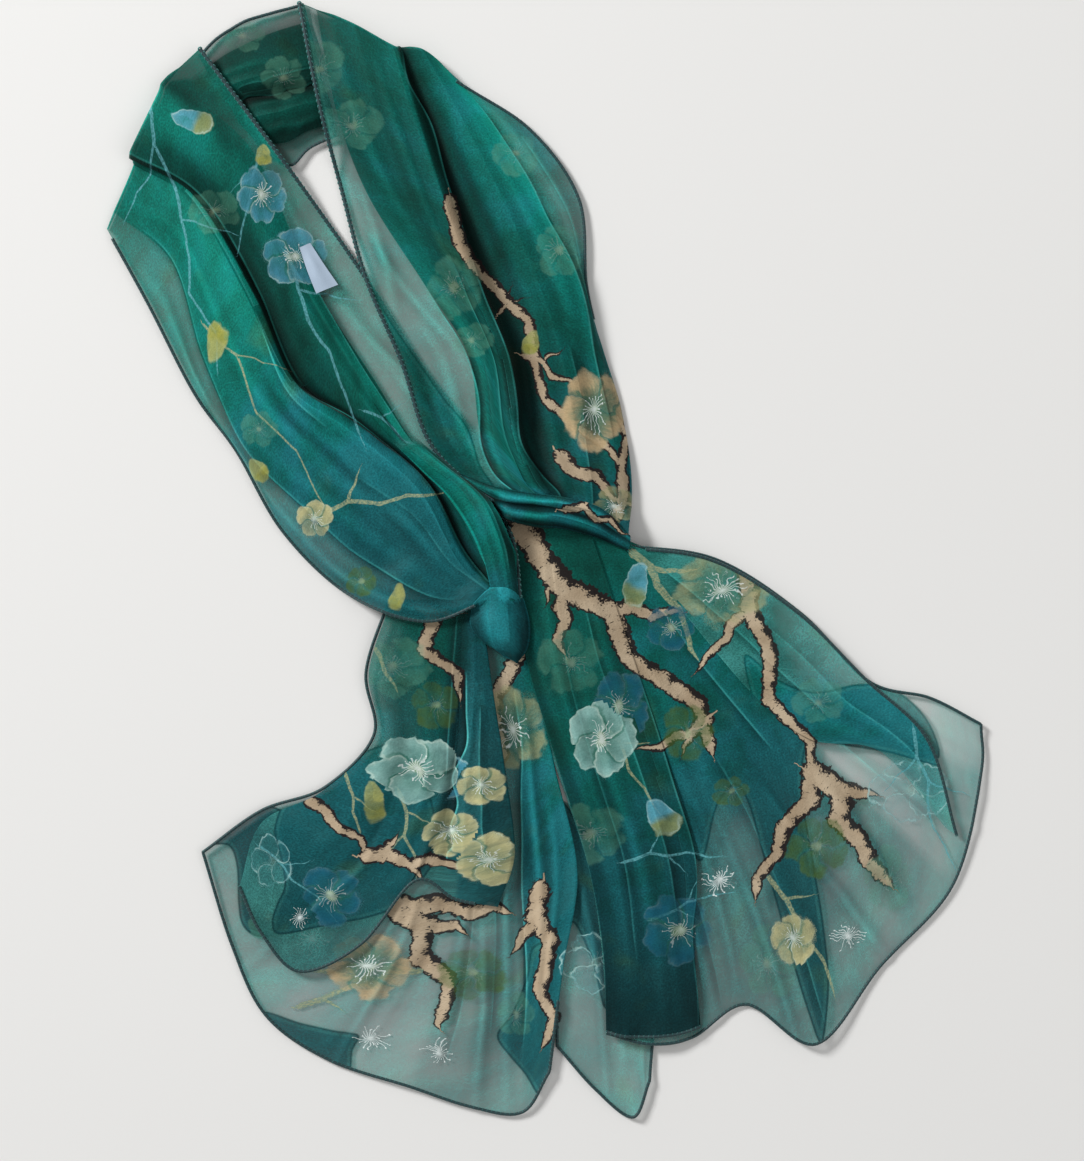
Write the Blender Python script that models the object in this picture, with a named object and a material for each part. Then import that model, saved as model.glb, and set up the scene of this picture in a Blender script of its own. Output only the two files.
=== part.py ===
"""A chiffon scarf tied with one loose knot and laid flat: each stretch that shows is one closed solid.

Blender 4.5, in metres, +Z up. The scarf lies on the plane z = 0, seen from above with the neck at +Y, and the
origin is below the middle of its box. A stretch is given by its folds, side by side. Each fold is a path in plan
and a height that changes along it. The stretches are laid down one after another, and each one rests on the
surface or on what was laid before it.
"""

from collections import namedtuple

import bpy
import numpy as np
from mathutils import Vector
from mathutils.bvhtree import BVHTree

MM = 0.001
WALL = 1.2  # thinnest single layer, in mm
SEAM = 0.6  # left between a stretch and what it rests on, in mm
SPANS = 2  # mesh columns between one fold and the next
PROBES = 5  # places tried for support between one mesh corner and the next
PROBE_SPREAD = ((0, 0), (1.5, 0), (-1.5, 0), (0, 1.5), (0, -1.5))  # and how far round each of them, in mm
PROBE_HEIGHT = 0.5  # metres, well above the scarf

# A fold's rise is its height in mm at its start, at one and two thirds, and at its end.
# Its path goes through the points xs, ys, in mm.
Fold = namedtuple("Fold", "name rise xs ys")

# The stretch behind the neck, paths running from the left shoulder to the right one.
NECK_BACK = (
    Fold("rim_hem", rise=(1.2, 1.2, 1.2, 1.2),
         xs=(-225, -213, -196, -177, -158), ys=(327, 339, 349, 355, 360)),
    Fold("strip_edge", rise=(1.6, 1.6, 1.6, 1.6),
         xs=(-221, -208, -192, -175, -155), ys=(319, 328, 336, 343, 349)),
    Fold("upper_fold", rise=(6, 8, 8, 6),
         xs=(-211, -199, -185, -169, -149), ys=(304, 309, 313, 317, 321)),
    Fold("fold_groove", rise=(4, 4, 4, 4),
         xs=(-204, -193, -178, -163, -146), ys=(294, 299, 301, 305, 308)),
    Fold("lower_fold", rise=(6, 9, 9, 6),
         xs=(-198, -186, -172, -156, -142), ys=(284, 287, 290, 295, 297)),
    Fold("lower_edge", rise=(3, 4, 4, 3),
         xs=(-190, -180, -168, -155, -139), ys=(273, 270, 271, 278, 283)),
    Fold("foot_hem", rise=(1.2, 1.2, 1.2, 1.2),
         xs=(-185, -175, -165, -154, -137), ys=(264, 260, 256, 267, 275)),
)

# The left arm, paths running from the shoulder to the knot.
LEFT_ARM = (
    Fold("outer_edge", rise=(1.5, 1.2, 1.4, 8),
         xs=(-285, -258, -228, -201, -171, -129, -79, -37), ys=(214, 165, 107, 70, 18, -22, -40, -26)),
    Fold("sheer_edge", rise=(4, 2.5, 6, 12),
         xs=(-280, -243, -223, -194, -154, -116, -74, -38), ys=(225, 193, 130, 71, 30, -2, -24, -24)),
    Fold("bright_ridge", rise=(4, 17, 18, 14),
         xs=(-267, -230, -193, -165, -126, -82, -58, -34), ys=(256, 232, 169, 111, 83, 45, 1, -24)),
    Fold("valley", rise=(13, 5, 5, 9),
         xs=(-268, -225, -187, -160, -121, -76, -52, -30), ys=(262, 235, 173, 115, 87, 50, 5, -24)),
    Fold("inner_crest", rise=(11, 10, 8, 8),
         xs=(-251, -208, -167, -136, -103, -63, -38, -26), ys=(299, 253, 187, 130, 85, 46, 7, -24)),
    Fold("panel_edge", rise=(6, 4, 4, 9),
         xs=(-235, -185, -150, -111, -84, -48, -28, -22), ys=(317, 265, 178, 115, 73, 44, 9, -24)),
    Fold("inner_hem", rise=(2, 1.2, 1.2, 7),
         xs=(-224, -169, -121, -80, -51, -41, -22, -17), ys=(330, 256, 188, 124, 85, 52, 13, -24)),
)

# The right arm, paths running from the shoulder to the knot.
RIGHT_ARM = (
    Fold("inner_hem", rise=(2.5, 1.2, 1.5, 12),
         xs=(-160, -147, -133, -117, -94, -77, -50, -19), ys=(360, 295, 240, 182, 128, 78, 49, 30)),
    Fold("panel_edge", rise=(5, 5, 5, 15),
         xs=(-149, -136, -116, -80, -51, -43, -30, -13), ys=(356, 291, 237, 180, 134, 84, 52, 35)),
    Fold("inner_crest", rise=(10, 12, 11, 17),
         xs=(-124, -110, -89, -59, -37, -30, -17, -3), ys=(345, 289, 234, 175, 131, 84, 53, 36)),
    Fold("inner_ridge", rise=(12, 18, 17, 19),
         xs=(-98, -85, -65, -41, -23, -18, -9, 7), ys=(331, 289, 232, 170, 128, 84, 50, 35)),
    Fold("valley", rise=(5, 5, 5, 16),
         xs=(-94, -78, -57, -33, -17, -9, 1, 15), ys=(331, 290, 234, 173, 132, 85, 52, 33)),
    Fold("outer_crest", rise=(11, 14, 12, 17),
         xs=(-80, -57, -30, -7, 9, 18, 24, 28), ys=(329, 289, 236, 182, 136, 87, 53, 30)),
    Fold("outer_ridge", rise=(8, 11, 6, 12),
         xs=(-68, -35, -4, 18, 31, 41, 46, 43), ys=(321, 283, 231, 189, 136, 92, 56, 20)),
    Fold("outer_hem", rise=(3, 1.2, 1.5, 5),
         xs=(-58, -11, 21, 26, 36, 48, 54, 52), ys=(309, 279, 234, 178, 136, 97, 52, 10)),
)

# The right arm's end, drawn across into the knot, paths running from its outer end inwards.
KNOT_BAND = (
    Fold("lower_edge", rise=(7, 15, 18, 16),
         xs=(52, 31, 9, -7, -28), ys=(6, 15, 21, 20, 20)),
    Fold("lower_crest", rise=(11, 23, 28, 26),
         xs=(53, 32, 10, -7, -28), ys=(8, 20, 27, 26, 27)),
    Fold("groove", rise=(9, 19, 23, 23),
         xs=(54, 33, 11, -8, -29), ys=(11, 25, 32, 33, 35)),
    Fold("upper_crest", rise=(11, 23, 27, 26),
         xs=(54, 35, 13, -9, -30), ys=(13, 28, 35, 37, 40)),
    Fold("upper_edge", rise=(7, 17, 20, 18),
         xs=(54, 36, 14, -9, -32), ys=(15, 32, 39, 42, 46)),
)

# The left arm's end, twisted over the band, paths running down into the knot.
KNOT_TURN = (
    Fold("lower_edge", rise=(9, 13, 18, 18),
         xs=(-103, -80, -59, -43, -34), ys=(79, 58, 37, 9, -26)),
    Fold("lower_crest", rise=(10, 19, 28, 23),
         xs=(-99, -76, -52, -37, -29), ys=(80, 61, 41, 9, -26)),
    Fold("upper_crest", rise=(10, 19, 29, 23),
         xs=(-94, -69, -43, -29, -23), ys=(82, 62, 40, 9, -26)),
    Fold("upper_edge", rise=(8, 12, 19, 18),
         xs=(-89, -63, -36, -22, -18), ys=(82, 60, 37, 7, -26)),
)

# The bulge where the cloth turns under the knot, paths running downwards.
KNOT_WRAP = (
    Fold("left_edge", rise=(10, 12, 10, 7),
         xs=(-46, -48, -43, -32), ys=(-26, -41, -51, -60)),
    Fold("left_crest", rise=(14, 21, 18, 10),
         xs=(-37, -37, -34, -27), ys=(-21, -41, -54, -63)),
    Fold("right_crest", rise=(14, 22, 20, 10),
         xs=(-25, -24, -23, -22), ys=(-21, -42, -56, -65)),
    Fold("right_edge", rise=(10, 13, 12, 8),
         xs=(-13, -12, -13, -19), ys=(-26, -44, -56, -67)),
)

# The left tail's lower layer, paths running from the knot to the end hem.
LEFT_TAIL = (
    Fold("left_hem", rise=(5, 1.5, 1.2, 1.2),
         xs=(-102, -117, -112, -144, -185, -223), ys=(-26, -73, -114, -148, -163, -190)),
    Fold("left_run", rise=(8, 4, 2.5, 1.2),
         xs=(-91, -100, -97, -121, -160, -204), ys=(-26, -75, -121, -173, -208, -251)),
    Fold("corner_run", rise=(8, 3, 1.6, 1.2),
         xs=(-79, -85, -82, -100, -132, -182), ys=(-26, -77, -130, -192, -244, -296)),
    Fold("middle_run", rise=(8, 6, 3.5, 1.2),
         xs=(-66, -69, -67, -78, -100, -141), ys=(-26, -78, -140, -208, -266, -325)),
    Fold("centre_run", rise=(8, 4, 2, 1.2),
         xs=(-53, -54, -52, -58, -69, -89), ys=(-26, -80, -147, -218, -280, -342)),
    Fold("right_groove", rise=(8, 7, 4, 1.2),
         xs=(-39, -38, -37, -37, -40, -50), ys=(-26, -80, -150, -221, -286, -355)),
    Fold("right_run", rise=(8, 5, 2.5, 1.2),
         xs=(-27, -22, -17, -15, -15, -16), ys=(-26, -78, -147, -218, -286, -359)),
    Fold("right_fold", rise=(5, 4, 6, 2),
         xs=(-15, -8, 4, 19, 10, 2), ys=(-26, -77, -134, -202, -267, -332)),
)

# The left tail's upper layer with its centre pleat, paths running from the knot down.
LEFT_FLAP = (
    Fold("turned_edge", rise=(6, 3, 2.8, 2.8),
         xs=(-101, -115, -111, -145, -185, -199), ys=(-28, -73, -115, -150, -171, -212)),
    Fold("flap_run", rise=(11, 7, 4.5, 2.8),
         xs=(-90, -99, -97, -121, -152, -185), ys=(-28, -75, -123, -171, -202, -242)),
    Fold("flap_corner", rise=(11, 6, 3, 2.8),
         xs=(-78, -84, -82, -100, -124, -160), ys=(-28, -77, -129, -181, -218, -267)),
    Fold("flap_middle", rise=(11, 9, 5, 2.8),
         xs=(-65, -69, -71, -82, -98, -120), ys=(-28, -78, -134, -179, -215, -249)),
    Fold("pleat_foot", rise=(11, 6, 4.5, 2.8),
         xs=(-54, -56, -61, -67, -74, -85), ys=(-28, -81, -137, -175, -194, -208)),
    Fold("pleat_ridge", rise=(12, 13, 12, 5),
         xs=(-48, -47, -51, -54, -54, -59), ys=(-28, -85, -136, -176, -199, -220)),
    Fold("pleat_edge", rise=(12, 15, 14, 6),
         xs=(-43, -35, -29, -23, -24, -32), ys=(-28, -91, -134, -177, -201, -225)),
)

# The left tail's second lobe, under both tails, paths running down.
LEFT_LOBE = (
    Fold("inner_edge", rise=(1.2, 1.2, 1.2, 1.2),
         xs=(-4, 4, 6, 7), ys=(-150, -208, -260, -316)),
    Fold("middle_run", rise=(1.2, 3, 3, 1.2),
         xs=(10, 23, 30, 32), ys=(-156, -215, -273, -344)),
    Fold("outer_run", rise=(1.2, 2, 2, 1.2),
         xs=(25, 43, 53, 56), ys=(-166, -225, -290, -362)),
    Fold("outer_hem", rise=(1.2, 1.2, 1.2, 1.2),
         xs=(38, 61, 69, 67), ys=(-179, -238, -293, -338)),
)

# The right tail's fan, paths running from the knot to the end hem.
RIGHT_TAIL = (
    Fold("left_edge", rise=(5, 2, 1.2, 1.2),
         xs=(-15, -10, 3, 26, 36, 39), ys=(24, -59, -124, -195, -254, -307)),
    Fold("column_left", rise=(8, 4, 2.5, 1.2),
         xs=(-7, 4, 22, 45, 59, 67), ys=(28, -56, -124, -195, -257, -314)),
    Fold("column_right", rise=(8, 4, 2, 1.2),
         xs=(1, 19, 41, 66, 84, 95), ys=(32, -52, -121, -192, -254, -310)),
    Fold("middle_fold", rise=(9, 8, 4, 1.2),
         xs=(9, 35, 64, 95, 116, 130), ys=(33, -46, -114, -182, -241, -289)),
    Fold("pleat", rise=(9, 9, 8, 3.5),
         xs=(19, 49, 84, 121, 150, 175), ys=(33, -36, -101, -173, -244, -314)),
    Fold("hollow", rise=(9, 4, 2, 1.2),
         xs=(28, 64, 105, 149, 186, 217), ys=(30, -30, -88, -153, -212, -264)),
    Fold("upper_fold", rise=(9, 7, 4, 1.2),
         xs=(36, 77, 124, 175, 222, 264), ys=(25, -22, -72, -124, -169, -211)),
    Fold("upper_run", rise=(7, 4, 2.5, 1.2),
         xs=(44, 92, 145, 194, 241, 282), ys=(18, -13, -56, -91, -117, -139)),
    Fold("upper_hem", rise=(5, 1.5, 1.2, 1.2),
         xs=(51, 110, 165, 209, 249, 282), ys=(9, 0, -35, -79, -90, -107)),
)

# The bunched column on the right tail, paths running from the knot down.
RIGHT_COLUMN = (
    Fold("left_edge", rise=(8, 5, 3.5, 2.8),
         xs=(-13, -9, 5, 27, 37, 39), ys=(23, -59, -125, -197, -254, -306)),
    Fold("left_crest", rise=(12, 12, 9, 4),
         xs=(-4, 4, 22, 44, 53, 54), ys=(27, -58, -125, -197, -254, -309)),
    Fold("right_crest", rise=(12, 11, 8, 4),
         xs=(9, 25, 48, 71, 79, 82), ys=(30, -52, -124, -194, -253, -308)),
    Fold("right_edge", rise=(8, 5, 4, 2.8),
         xs=(24, 49, 74, 96, 96, 100), ys=(30, -43, -117, -190, -251, -303)),
)

# The right tail's upper edge folded over the fan, paths running from the knot outwards.
RIGHT_LEAF = (
    Fold("lower_fold", rise=(8, 7, 4, 2.8),
         xs=(36, 85, 131, 170, 217, 260), ys=(23, -30, -84, -116, -125, -175)),
    Fold("middle_run", rise=(9, 6, 4, 2.8),
         xs=(43, 98, 148, 189, 232, 263), ys=(16, -17, -59, -99, -128, -177)),
    Fold("upper_hem", rise=(6, 3, 2.8, 2.8),
         xs=(50, 108, 162, 206, 247, 266), ys=(8, -1, -34, -77, -117, -179)),
)

# The bare care label on the left arm, paths running down.
CARE_LABEL = (
    Fold("left_side", rise=(4, 4, 4, 4),
         xs=(-156, -153, -149), ys=(201, 187, 171)),
    Fold("right_side", rise=(4, 4, 4, 4),
         xs=(-153, -144, -135), ys=(202, 189, 177)),
)
# The cloth's own colours, from the neck's emerald to the tails' teal.
EMERALD = (0.004, 0.13, 0.085)
DEEP_GREEN = (0.003, 0.085, 0.065)
TEAL = (0.004, 0.075, 0.085)
SEA_BLUE = (0.012, 0.12, 0.16)
LABEL_WHITE = (0.75, 0.78, 0.78)

# In the order in which they are laid. Sections is the number of cross-sections along the stretch.
Stretch = namedtuple("Stretch", "name folds sections colour roughness")
STRETCHES = (
    Stretch("neck_back", NECK_BACK, 9, DEEP_GREEN, 0.55),
    Stretch("left_lobe", LEFT_LOBE, 10, TEAL, 0.5),
    Stretch("left_tail", LEFT_TAIL, 20, TEAL, 0.5),
    Stretch("left_flap", LEFT_FLAP, 18, TEAL, 0.5),
    Stretch("right_tail", RIGHT_TAIL, 20, TEAL, 0.5),
    Stretch("right_column", RIGHT_COLUMN, 18, DEEP_GREEN, 0.55),
    Stretch("right_leaf", RIGHT_LEAF, 16, EMERALD, 0.5),
    Stretch("knot_wrap", KNOT_WRAP, 9, SEA_BLUE, 0.5),
    Stretch("left_arm", LEFT_ARM, 24, EMERALD, 0.55),
    Stretch("right_arm", RIGHT_ARM, 24, DEEP_GREEN, 0.55),
    Stretch("care_label", CARE_LABEL, 4, LABEL_WHITE, 0.7),
    Stretch("knot_band", KNOT_BAND, 14, DEEP_GREEN, 0.55),
    Stretch("knot_turn", KNOT_TURN, 14, EMERALD, 0.55),
)


def clear_scene():
    for old in list(bpy.data.objects):
        bpy.data.objects.remove(old, do_unlink=True)


def curve_through(values, places):
    """A smooth curve through evenly spaced values, read at places that run from 0 to 1."""
    values = np.asarray(values, float)
    padded = np.concatenate([[2 * values[0] - values[1]], values, [2 * values[-1] - values[-2]]])
    at = np.clip(places, 0, 1) * (len(values) - 1)
    index = np.minimum(at.astype(int), len(values) - 2)
    t = at - index
    p0, p1, p2, p3 = (padded[index + k] for k in range(4))
    return 0.5 * (
        2 * p1 + (p2 - p0) * t + (2 * p0 - 5 * p1 + 4 * p2 - p3) * t**2 + (3 * (p1 - p2) + p3 - p0) * t**3
    )


def eased(values, places):
    """Heights that ease from one value to the next with no overshoot, at places that run from 0 to 1."""
    values = np.asarray(values, float)
    at = np.clip(places, 0, 1) * (len(values) - 1)
    index = np.minimum(at.astype(int), len(values) - 2)
    t = at - index
    ease = t * t * (3 - 2 * t)
    return values[index] * (1 - ease) + values[index + 1] * ease


def fold_grid(folds, sections, columns):
    """(x, y, rise) at each section and column, as an array in mm."""
    along = np.linspace(0, 1, sections)
    across = np.linspace(0, 1, columns)
    paths = [(curve_through(f.xs, along), curve_through(f.ys, along), eased(f.rise, along)) for f in folds]
    paths = np.array(paths)
    grid = np.empty((sections, columns, 3))
    for row in range(sections):
        grid[row, :, 0] = curve_through(paths[:, 0, row], across)
        grid[row, :, 1] = curve_through(paths[:, 1, row], across)
        grid[row, :, 2] = eased(paths[:, 2, row], across)
    return grid


def support_under(grid, laid):
    """The highest point, in mm, of what was laid before, under each corner and half way to its neighbours."""
    heights = np.zeros(grid.shape[:2])
    if laid is None:
        return heights
    down = Vector((0, 0, -1))
    for row, column in np.ndindex(heights.shape):
        for spread in PROBE_SPREAD:
            x, y = (grid[row, column, :2] + spread) * MM
            hit = laid.ray_cast(Vector((x, y, PROBE_HEIGHT)), down)[0]
            if hit is not None:
                heights[row, column] = max(heights[row, column], hit.z / MM)
    return heights


def undersides(folds, sections, columns, laid):
    """Each mesh corner's lowest place, in mm, so that the cloth between the corners clears what it rests on."""
    fine = fold_grid(folds, (sections - 1) * PROBES + 1, (columns - 1) * PROBES + 1)
    heights = support_under(fine, laid)
    under = np.zeros((sections, columns))
    for row, column in np.ndindex(under.shape):
        rows = slice(max(0, (row - 1) * PROBES), (row + 1) * PROBES + 1)
        sides = slice(max(0, (column - 1) * PROBES), (column + 1) * PROBES + 1)
        highest = heights[rows, sides].max()
        under[row, column] = highest + SEAM if highest > 0 else 0.0
    return under


def closed_faces(rows, columns):
    """The faces of a slab whose top corners come first, row by row, and then its bottom corners."""
    def corner(row, column, layer):
        return layer * rows * columns + row * columns + column

    faces = []
    for row in range(rows - 1):
        for column in range(columns - 1):
            ring = [(row, column), (row + 1, column), (row + 1, column + 1), (row, column + 1)]
            faces.append([corner(r, c, 0) for r, c in ring])
            faces.append([corner(r, c, 1) for r, c in reversed(ring)])
    rim = [(row, 0) for row in range(rows)]
    rim += [(rows - 1, column) for column in range(1, columns)]
    rim += [(row, columns - 1) for row in range(rows - 2, -1, -1)]
    rim += [(0, column) for column in range(columns - 2, 0, -1)]
    for here, after in zip(rim, rim[1:] + rim[:1]):
        faces.append([corner(*here, 0), corner(*here, 1), corner(*after, 1), corner(*after, 0)])
    return faces


def cloth_material(name, colour, roughness):
    material = bpy.data.materials.new(name)
    material.use_nodes = True
    shader = material.node_tree.nodes["Principled BSDF"]
    shader.inputs["Base Color"].default_value = (*colour, 1)
    shader.inputs["Roughness"].default_value = roughness
    shader.inputs["Metallic"].default_value = 0
    return material


def lay_stretch(stretch, laid):
    """Makes one stretch as a closed solid on what was laid before it, and returns its object."""
    columns = (len(stretch.folds) - 1) * SPANS + 1
    grid = fold_grid(stretch.folds, stretch.sections, columns)
    under = undersides(stretch.folds, stretch.sections, columns, laid)
    top = grid.copy()
    top[:, :, 2] = np.maximum(grid[:, :, 2], under + WALL)
    bottom = grid.copy()
    bottom[:, :, 2] = under
    corners = np.concatenate([top.reshape(-1, 3), bottom.reshape(-1, 3)]) * MM
    faces = closed_faces(stretch.sections, columns)
    mesh = bpy.data.meshes.new(stretch.name)
    mesh.from_pydata(corners.tolist(), [], faces)
    mesh.validate()
    turn_outwards(mesh)
    mesh.shade_smooth()
    mesh.set_sharp_from_angle(angle=np.radians(50))
    mesh.materials.append(cloth_material(stretch.name, stretch.colour, stretch.roughness))
    piece = bpy.data.objects.new(stretch.name, mesh)
    bpy.context.scene.collection.objects.link(piece)
    return piece


def turn_outwards(mesh):
    """Flips the faces where the folds run clockwise in plan, so that the top faces up."""
    if mesh.polygons[0].normal.z < 0:
        mesh.flip_normals()


def tree_of(pieces):
    """All pieces laid so far as one search tree."""
    corners = []
    faces = []
    for piece in pieces:
        start = len(corners)
        corners += [vertex.co.copy() for vertex in piece.data.vertices]
        faces += [[start + index for index in face.vertices] for face in piece.data.polygons]
    return BVHTree.FromPolygons(corners, faces) if faces else None


def main():
    clear_scene()
    pieces = []
    for stretch in STRETCHES:
        pieces.append(lay_stretch(stretch, tree_of(pieces)))


main()
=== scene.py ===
# %% [markdown]
# # A printed chiffon scarf, tied in one loose knot and laid flat
#
# Chiffon is a thin, open cloth that lets light through. One layer looks like tinted glass, two look darker, and
# where the cloth is bunched it looks solid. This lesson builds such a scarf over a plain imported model: the packed
# solids give the place and height of every stretch of cloth, and the steps below lay a fine sheet on each of them,
# crease it, dye it, print it and hem it.
#
# Lengths in the tables are in millimetres, and the scene itself is in metres.

from collections import namedtuple

import bmesh
import bpy
import numpy as np
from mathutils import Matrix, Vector
from mathutils.bvhtree import BVHTree


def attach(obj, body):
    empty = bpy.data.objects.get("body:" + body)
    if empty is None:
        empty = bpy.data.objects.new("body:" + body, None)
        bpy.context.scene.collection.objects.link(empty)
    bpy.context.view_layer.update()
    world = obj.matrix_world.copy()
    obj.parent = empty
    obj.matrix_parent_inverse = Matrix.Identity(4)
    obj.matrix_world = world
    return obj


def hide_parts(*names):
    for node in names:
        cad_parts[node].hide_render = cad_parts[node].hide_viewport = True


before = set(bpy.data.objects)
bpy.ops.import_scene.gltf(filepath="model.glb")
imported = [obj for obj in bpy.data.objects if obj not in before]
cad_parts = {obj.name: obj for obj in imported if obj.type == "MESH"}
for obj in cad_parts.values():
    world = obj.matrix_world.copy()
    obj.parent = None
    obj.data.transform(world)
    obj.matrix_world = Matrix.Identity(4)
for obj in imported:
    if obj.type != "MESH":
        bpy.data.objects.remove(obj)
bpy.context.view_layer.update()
scene = bpy.context.scene
MM = 0.001
print("CAD stretches:", ", ".join(sorted(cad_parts)))

# %% [markdown]
# ## Describing a stretch of cloth
#
# Cloth that is pulled through a knot lies in long folds, and every fold keeps its place in the cloth from one end
# to the other. So a stretch is a short table: one row for each fold or edge, side by side, with the path that it
# takes over the table top. Between two rows the cloth is a smooth curve. Cloth could also be dropped and left to a
# simulation, but it would never fall into these folds: a table puts each one where it belongs.
#
# Each row also says how the cloth looks from there to the next row. **cover** is how many layers lie on each
# other, at evenly spaced places from the start to the end. **tone** is painted light and shade at such
# places: how much darker (painted shade, as in a groove) or lighter (a painted highlight, as on a crest) the dye is
# drawn. **soft** is how many millimetres the change takes: 1 is the sharp line of a hidden edge.
#
# A **Crease** is a ridge (or, with a height below zero, a trough) that runs from one place across the folds to
# another, between two places along them.

# %% Rows, creases and stretches
SINGLE = (1, 1, 1, 1)  # one layer all the way along, which is what a row has when it names no cover
BUNCHED = (4, 4, 4, 4)  # so many folds that it looks solid
TIGHT = (5, 5, 5, 5)  # drawn into the knot
SOFT = 8  # mm, for a row that names no width
Run = namedtuple("Run", "name xs ys tone cover soft", defaults=(SINGLE, SOFT))
Crease = namedtuple("Crease", "place_from place_to start end height width")
Stretch = namedtuple("Stretch", "name runs hue creases rolled hems slot")

# %% [markdown]
# ## The neck and the two arms
#
# Behind the neck the cloth is bunched into dark folds with a thin rim. From there two arms run down to the knot.
# Each arm has a bunched middle and a sheer strip along its edges, where a single layer lies.

# %% Rows of the neck and the arms
NECK_BACK = (
    Run("rim_hem", cover=(1.2, 1.2, 1.2, 1.2), tone=(0.8, 0.8), soft=1,
        xs=(-225, -213, -196, -177, -158), ys=(327, 339, 349, 355, 360)),
    Run("strip_edge", cover=(2.6, 3, 3, 2.6), tone=(0.3, 0.25), soft=1,
        xs=(-221, -208, -192, -175, -155), ys=(319, 328, 336, 343, 349)),
    Run("upper_fold", cover=BUNCHED, tone=(0.42, 0.3),
        xs=(-211, -199, -185, -169, -149), ys=(304, 309, 313, 317, 321)),
    Run("fold_groove", cover=BUNCHED, tone=(0.14, 0.14),
        xs=(-204, -193, -178, -163, -146), ys=(294, 299, 301, 305, 308)),
    Run("lower_fold", cover=BUNCHED, tone=(0.36, 0.4),
        xs=(-198, -186, -172, -156, -142), ys=(284, 287, 290, 295, 297)),
    Run("lower_edge", cover=(1.2, 1.2, 1.2, 1.2), tone=(0.2, 0.2), soft=1,
        xs=(-190, -180, -168, -155, -139), ys=(273, 270, 271, 278, 283)),
    Run("foot_hem", tone=(0.5, 0.5), soft=1,
        xs=(-185, -175, -165, -154, -137), ys=(264, 260, 256, 267, 275)),
)
LEFT_ARM = (
    Run("outer_edge", cover=(1.6, 1.35, 1.3, 1.3, 1.6, 2), tone=(0.9, 1, 0.95, 0.85, 0.7), soft=1,
        xs=(-285, -258, -228, -201, -171, -129, -79, -37), ys=(214, 165, 107, 70, 18, -22, -40, -26)),
    Run("sheer_edge", cover=(2.6, 3, 3.2, 4), tone=(0.8, 0.9, 0.9, 0.85, 0.8, 0.7), soft=1,
        xs=(-280, -243, -223, -194, -154, -116, -74, -38), ys=(225, 193, 130, 71, 30, -2, -24, -24)),
    Run("bright_ridge", cover=(3.5, 3.5, 3.5, 4), tone=(0.85, 1.05, 1, 1, 0.95, 0.8),
        xs=(-267, -230, -193, -165, -126, -82, -58, -34), ys=(256, 232, 169, 111, 83, 45, 1, -24)),
    Run("valley", cover=(3.2, 3.4, 3.4, 4), tone=(0.3, 0.16, 0.16, 0.25, 0.3, 0.35), soft=5,
        xs=(-268, -225, -187, -160, -121, -76, -52, -30), ys=(262, 235, 173, 115, 87, 50, 5, -24)),
    Run("inner_crest", cover=(2.4, 3.2, 3.2, 4), tone=(0.95, 0.55, 0.5, 0.6, 0.85, 0.85),
        xs=(-251, -208, -167, -136, -103, -63, -38, -26), ys=(299, 253, 187, 130, 85, 46, 7, -24)),
    Run("panel_edge", cover=(2.4, 1.25, 1, 1, 1.2, 3), tone=(0.32, 0.6, 0.75, 0.9, 0.85, 0.7), soft=1,
        xs=(-246, -191, -152, -111, -84, -48, -28, -22), ys=(310, 265, 180, 115, 73, 44, 9, -24)),
    Run("inner_hem", tone=(0.6, 0.9, 1, 0.35, 0.25, 0.3), soft=1,
        xs=(-224, -169, -121, -80, -51, -41, -22, -17), ys=(330, 256, 188, 124, 85, 52, 13, -24)),
)
RIGHT_ARM = (
    Run("inner_hem", cover=(1.2, 1, 1, 1, 1, 1.2, 3), tone=(0.6, 0.9, 1, 0.5, 0.45, 0.5), soft=1,
        xs=(-160, -147, -133, -117, -94, -77, -50, -19), ys=(360, 295, 240, 182, 128, 78, 49, 30)),
    Run("panel_edge", cover=(2, 3.2, 3.2, 4), tone=(0.5, 0.55, 0.85, 1, 0.85, 0.7), soft=1,
        xs=(-149, -136, -116, -80, -51, -43, -30, -13), ys=(356, 291, 237, 180, 134, 84, 52, 35)),
    Run("inner_crest", cover=(2.6, 3.4, 3.4, 4), tone=(0.55, 0.5, 0.45, 0.58, 0.8, 0.8),
        xs=(-124, -110, -89, -59, -37, -30, -17, -3), ys=(345, 289, 234, 175, 131, 84, 53, 36)),
    Run("inner_ridge", cover=(3, 3.5, 3.5, 4), tone=(0.65, 0.55, 0.52, 0.62, 0.85, 0.85), soft=5,
        xs=(-99, -87, -69, -47, -31, -24, -13, 5), ys=(331, 289, 232, 170, 128, 84, 50, 35)),
    Run("valley", cover=(3, 3.5, 3.5, 4), tone=(0.22, 0.22, 0.2, 0.2, 0.2, 0.3), soft=5,
        xs=(-94, -80, -62, -40, -25, -16, -3, 13), ys=(331, 290, 234, 173, 132, 85, 52, 33)),
    Run("outer_crest", cover=(3, 3, 3.2, 4), tone=(0.6, 0.8, 0.6, 0.5, 0.55, 0.7),
        xs=(-80, -57, -30, -7, 9, 18, 24, 28), ys=(329, 289, 236, 182, 136, 87, 53, 30)),
    Run("outer_ridge", cover=(1.6, 1.1, 2.4, 4), tone=(1.25, 1.4, 1.05, 0.65, 0.6, 0.65), soft=1,
        xs=(-68, -35, -4, 18, 31, 41, 46, 43), ys=(321, 283, 231, 189, 136, 92, 56, 20)),
    Run("outer_hem", tone=(0.9, 0.9, 0.8, 0.55, 0.55, 0.6), soft=1,
        xs=(-58, -11, 21, 26, 36, 48, 54, 52), ys=(309, 279, 234, 178, 136, 97, 52, 10)),
)

# %% [markdown]
# ## The knot
#
# The right arm's end is drawn across as a band, the left arm's end turns over it, and below them the cloth wraps
# round. All three are tight rolls of many layers, so they are solid and short.

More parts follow.
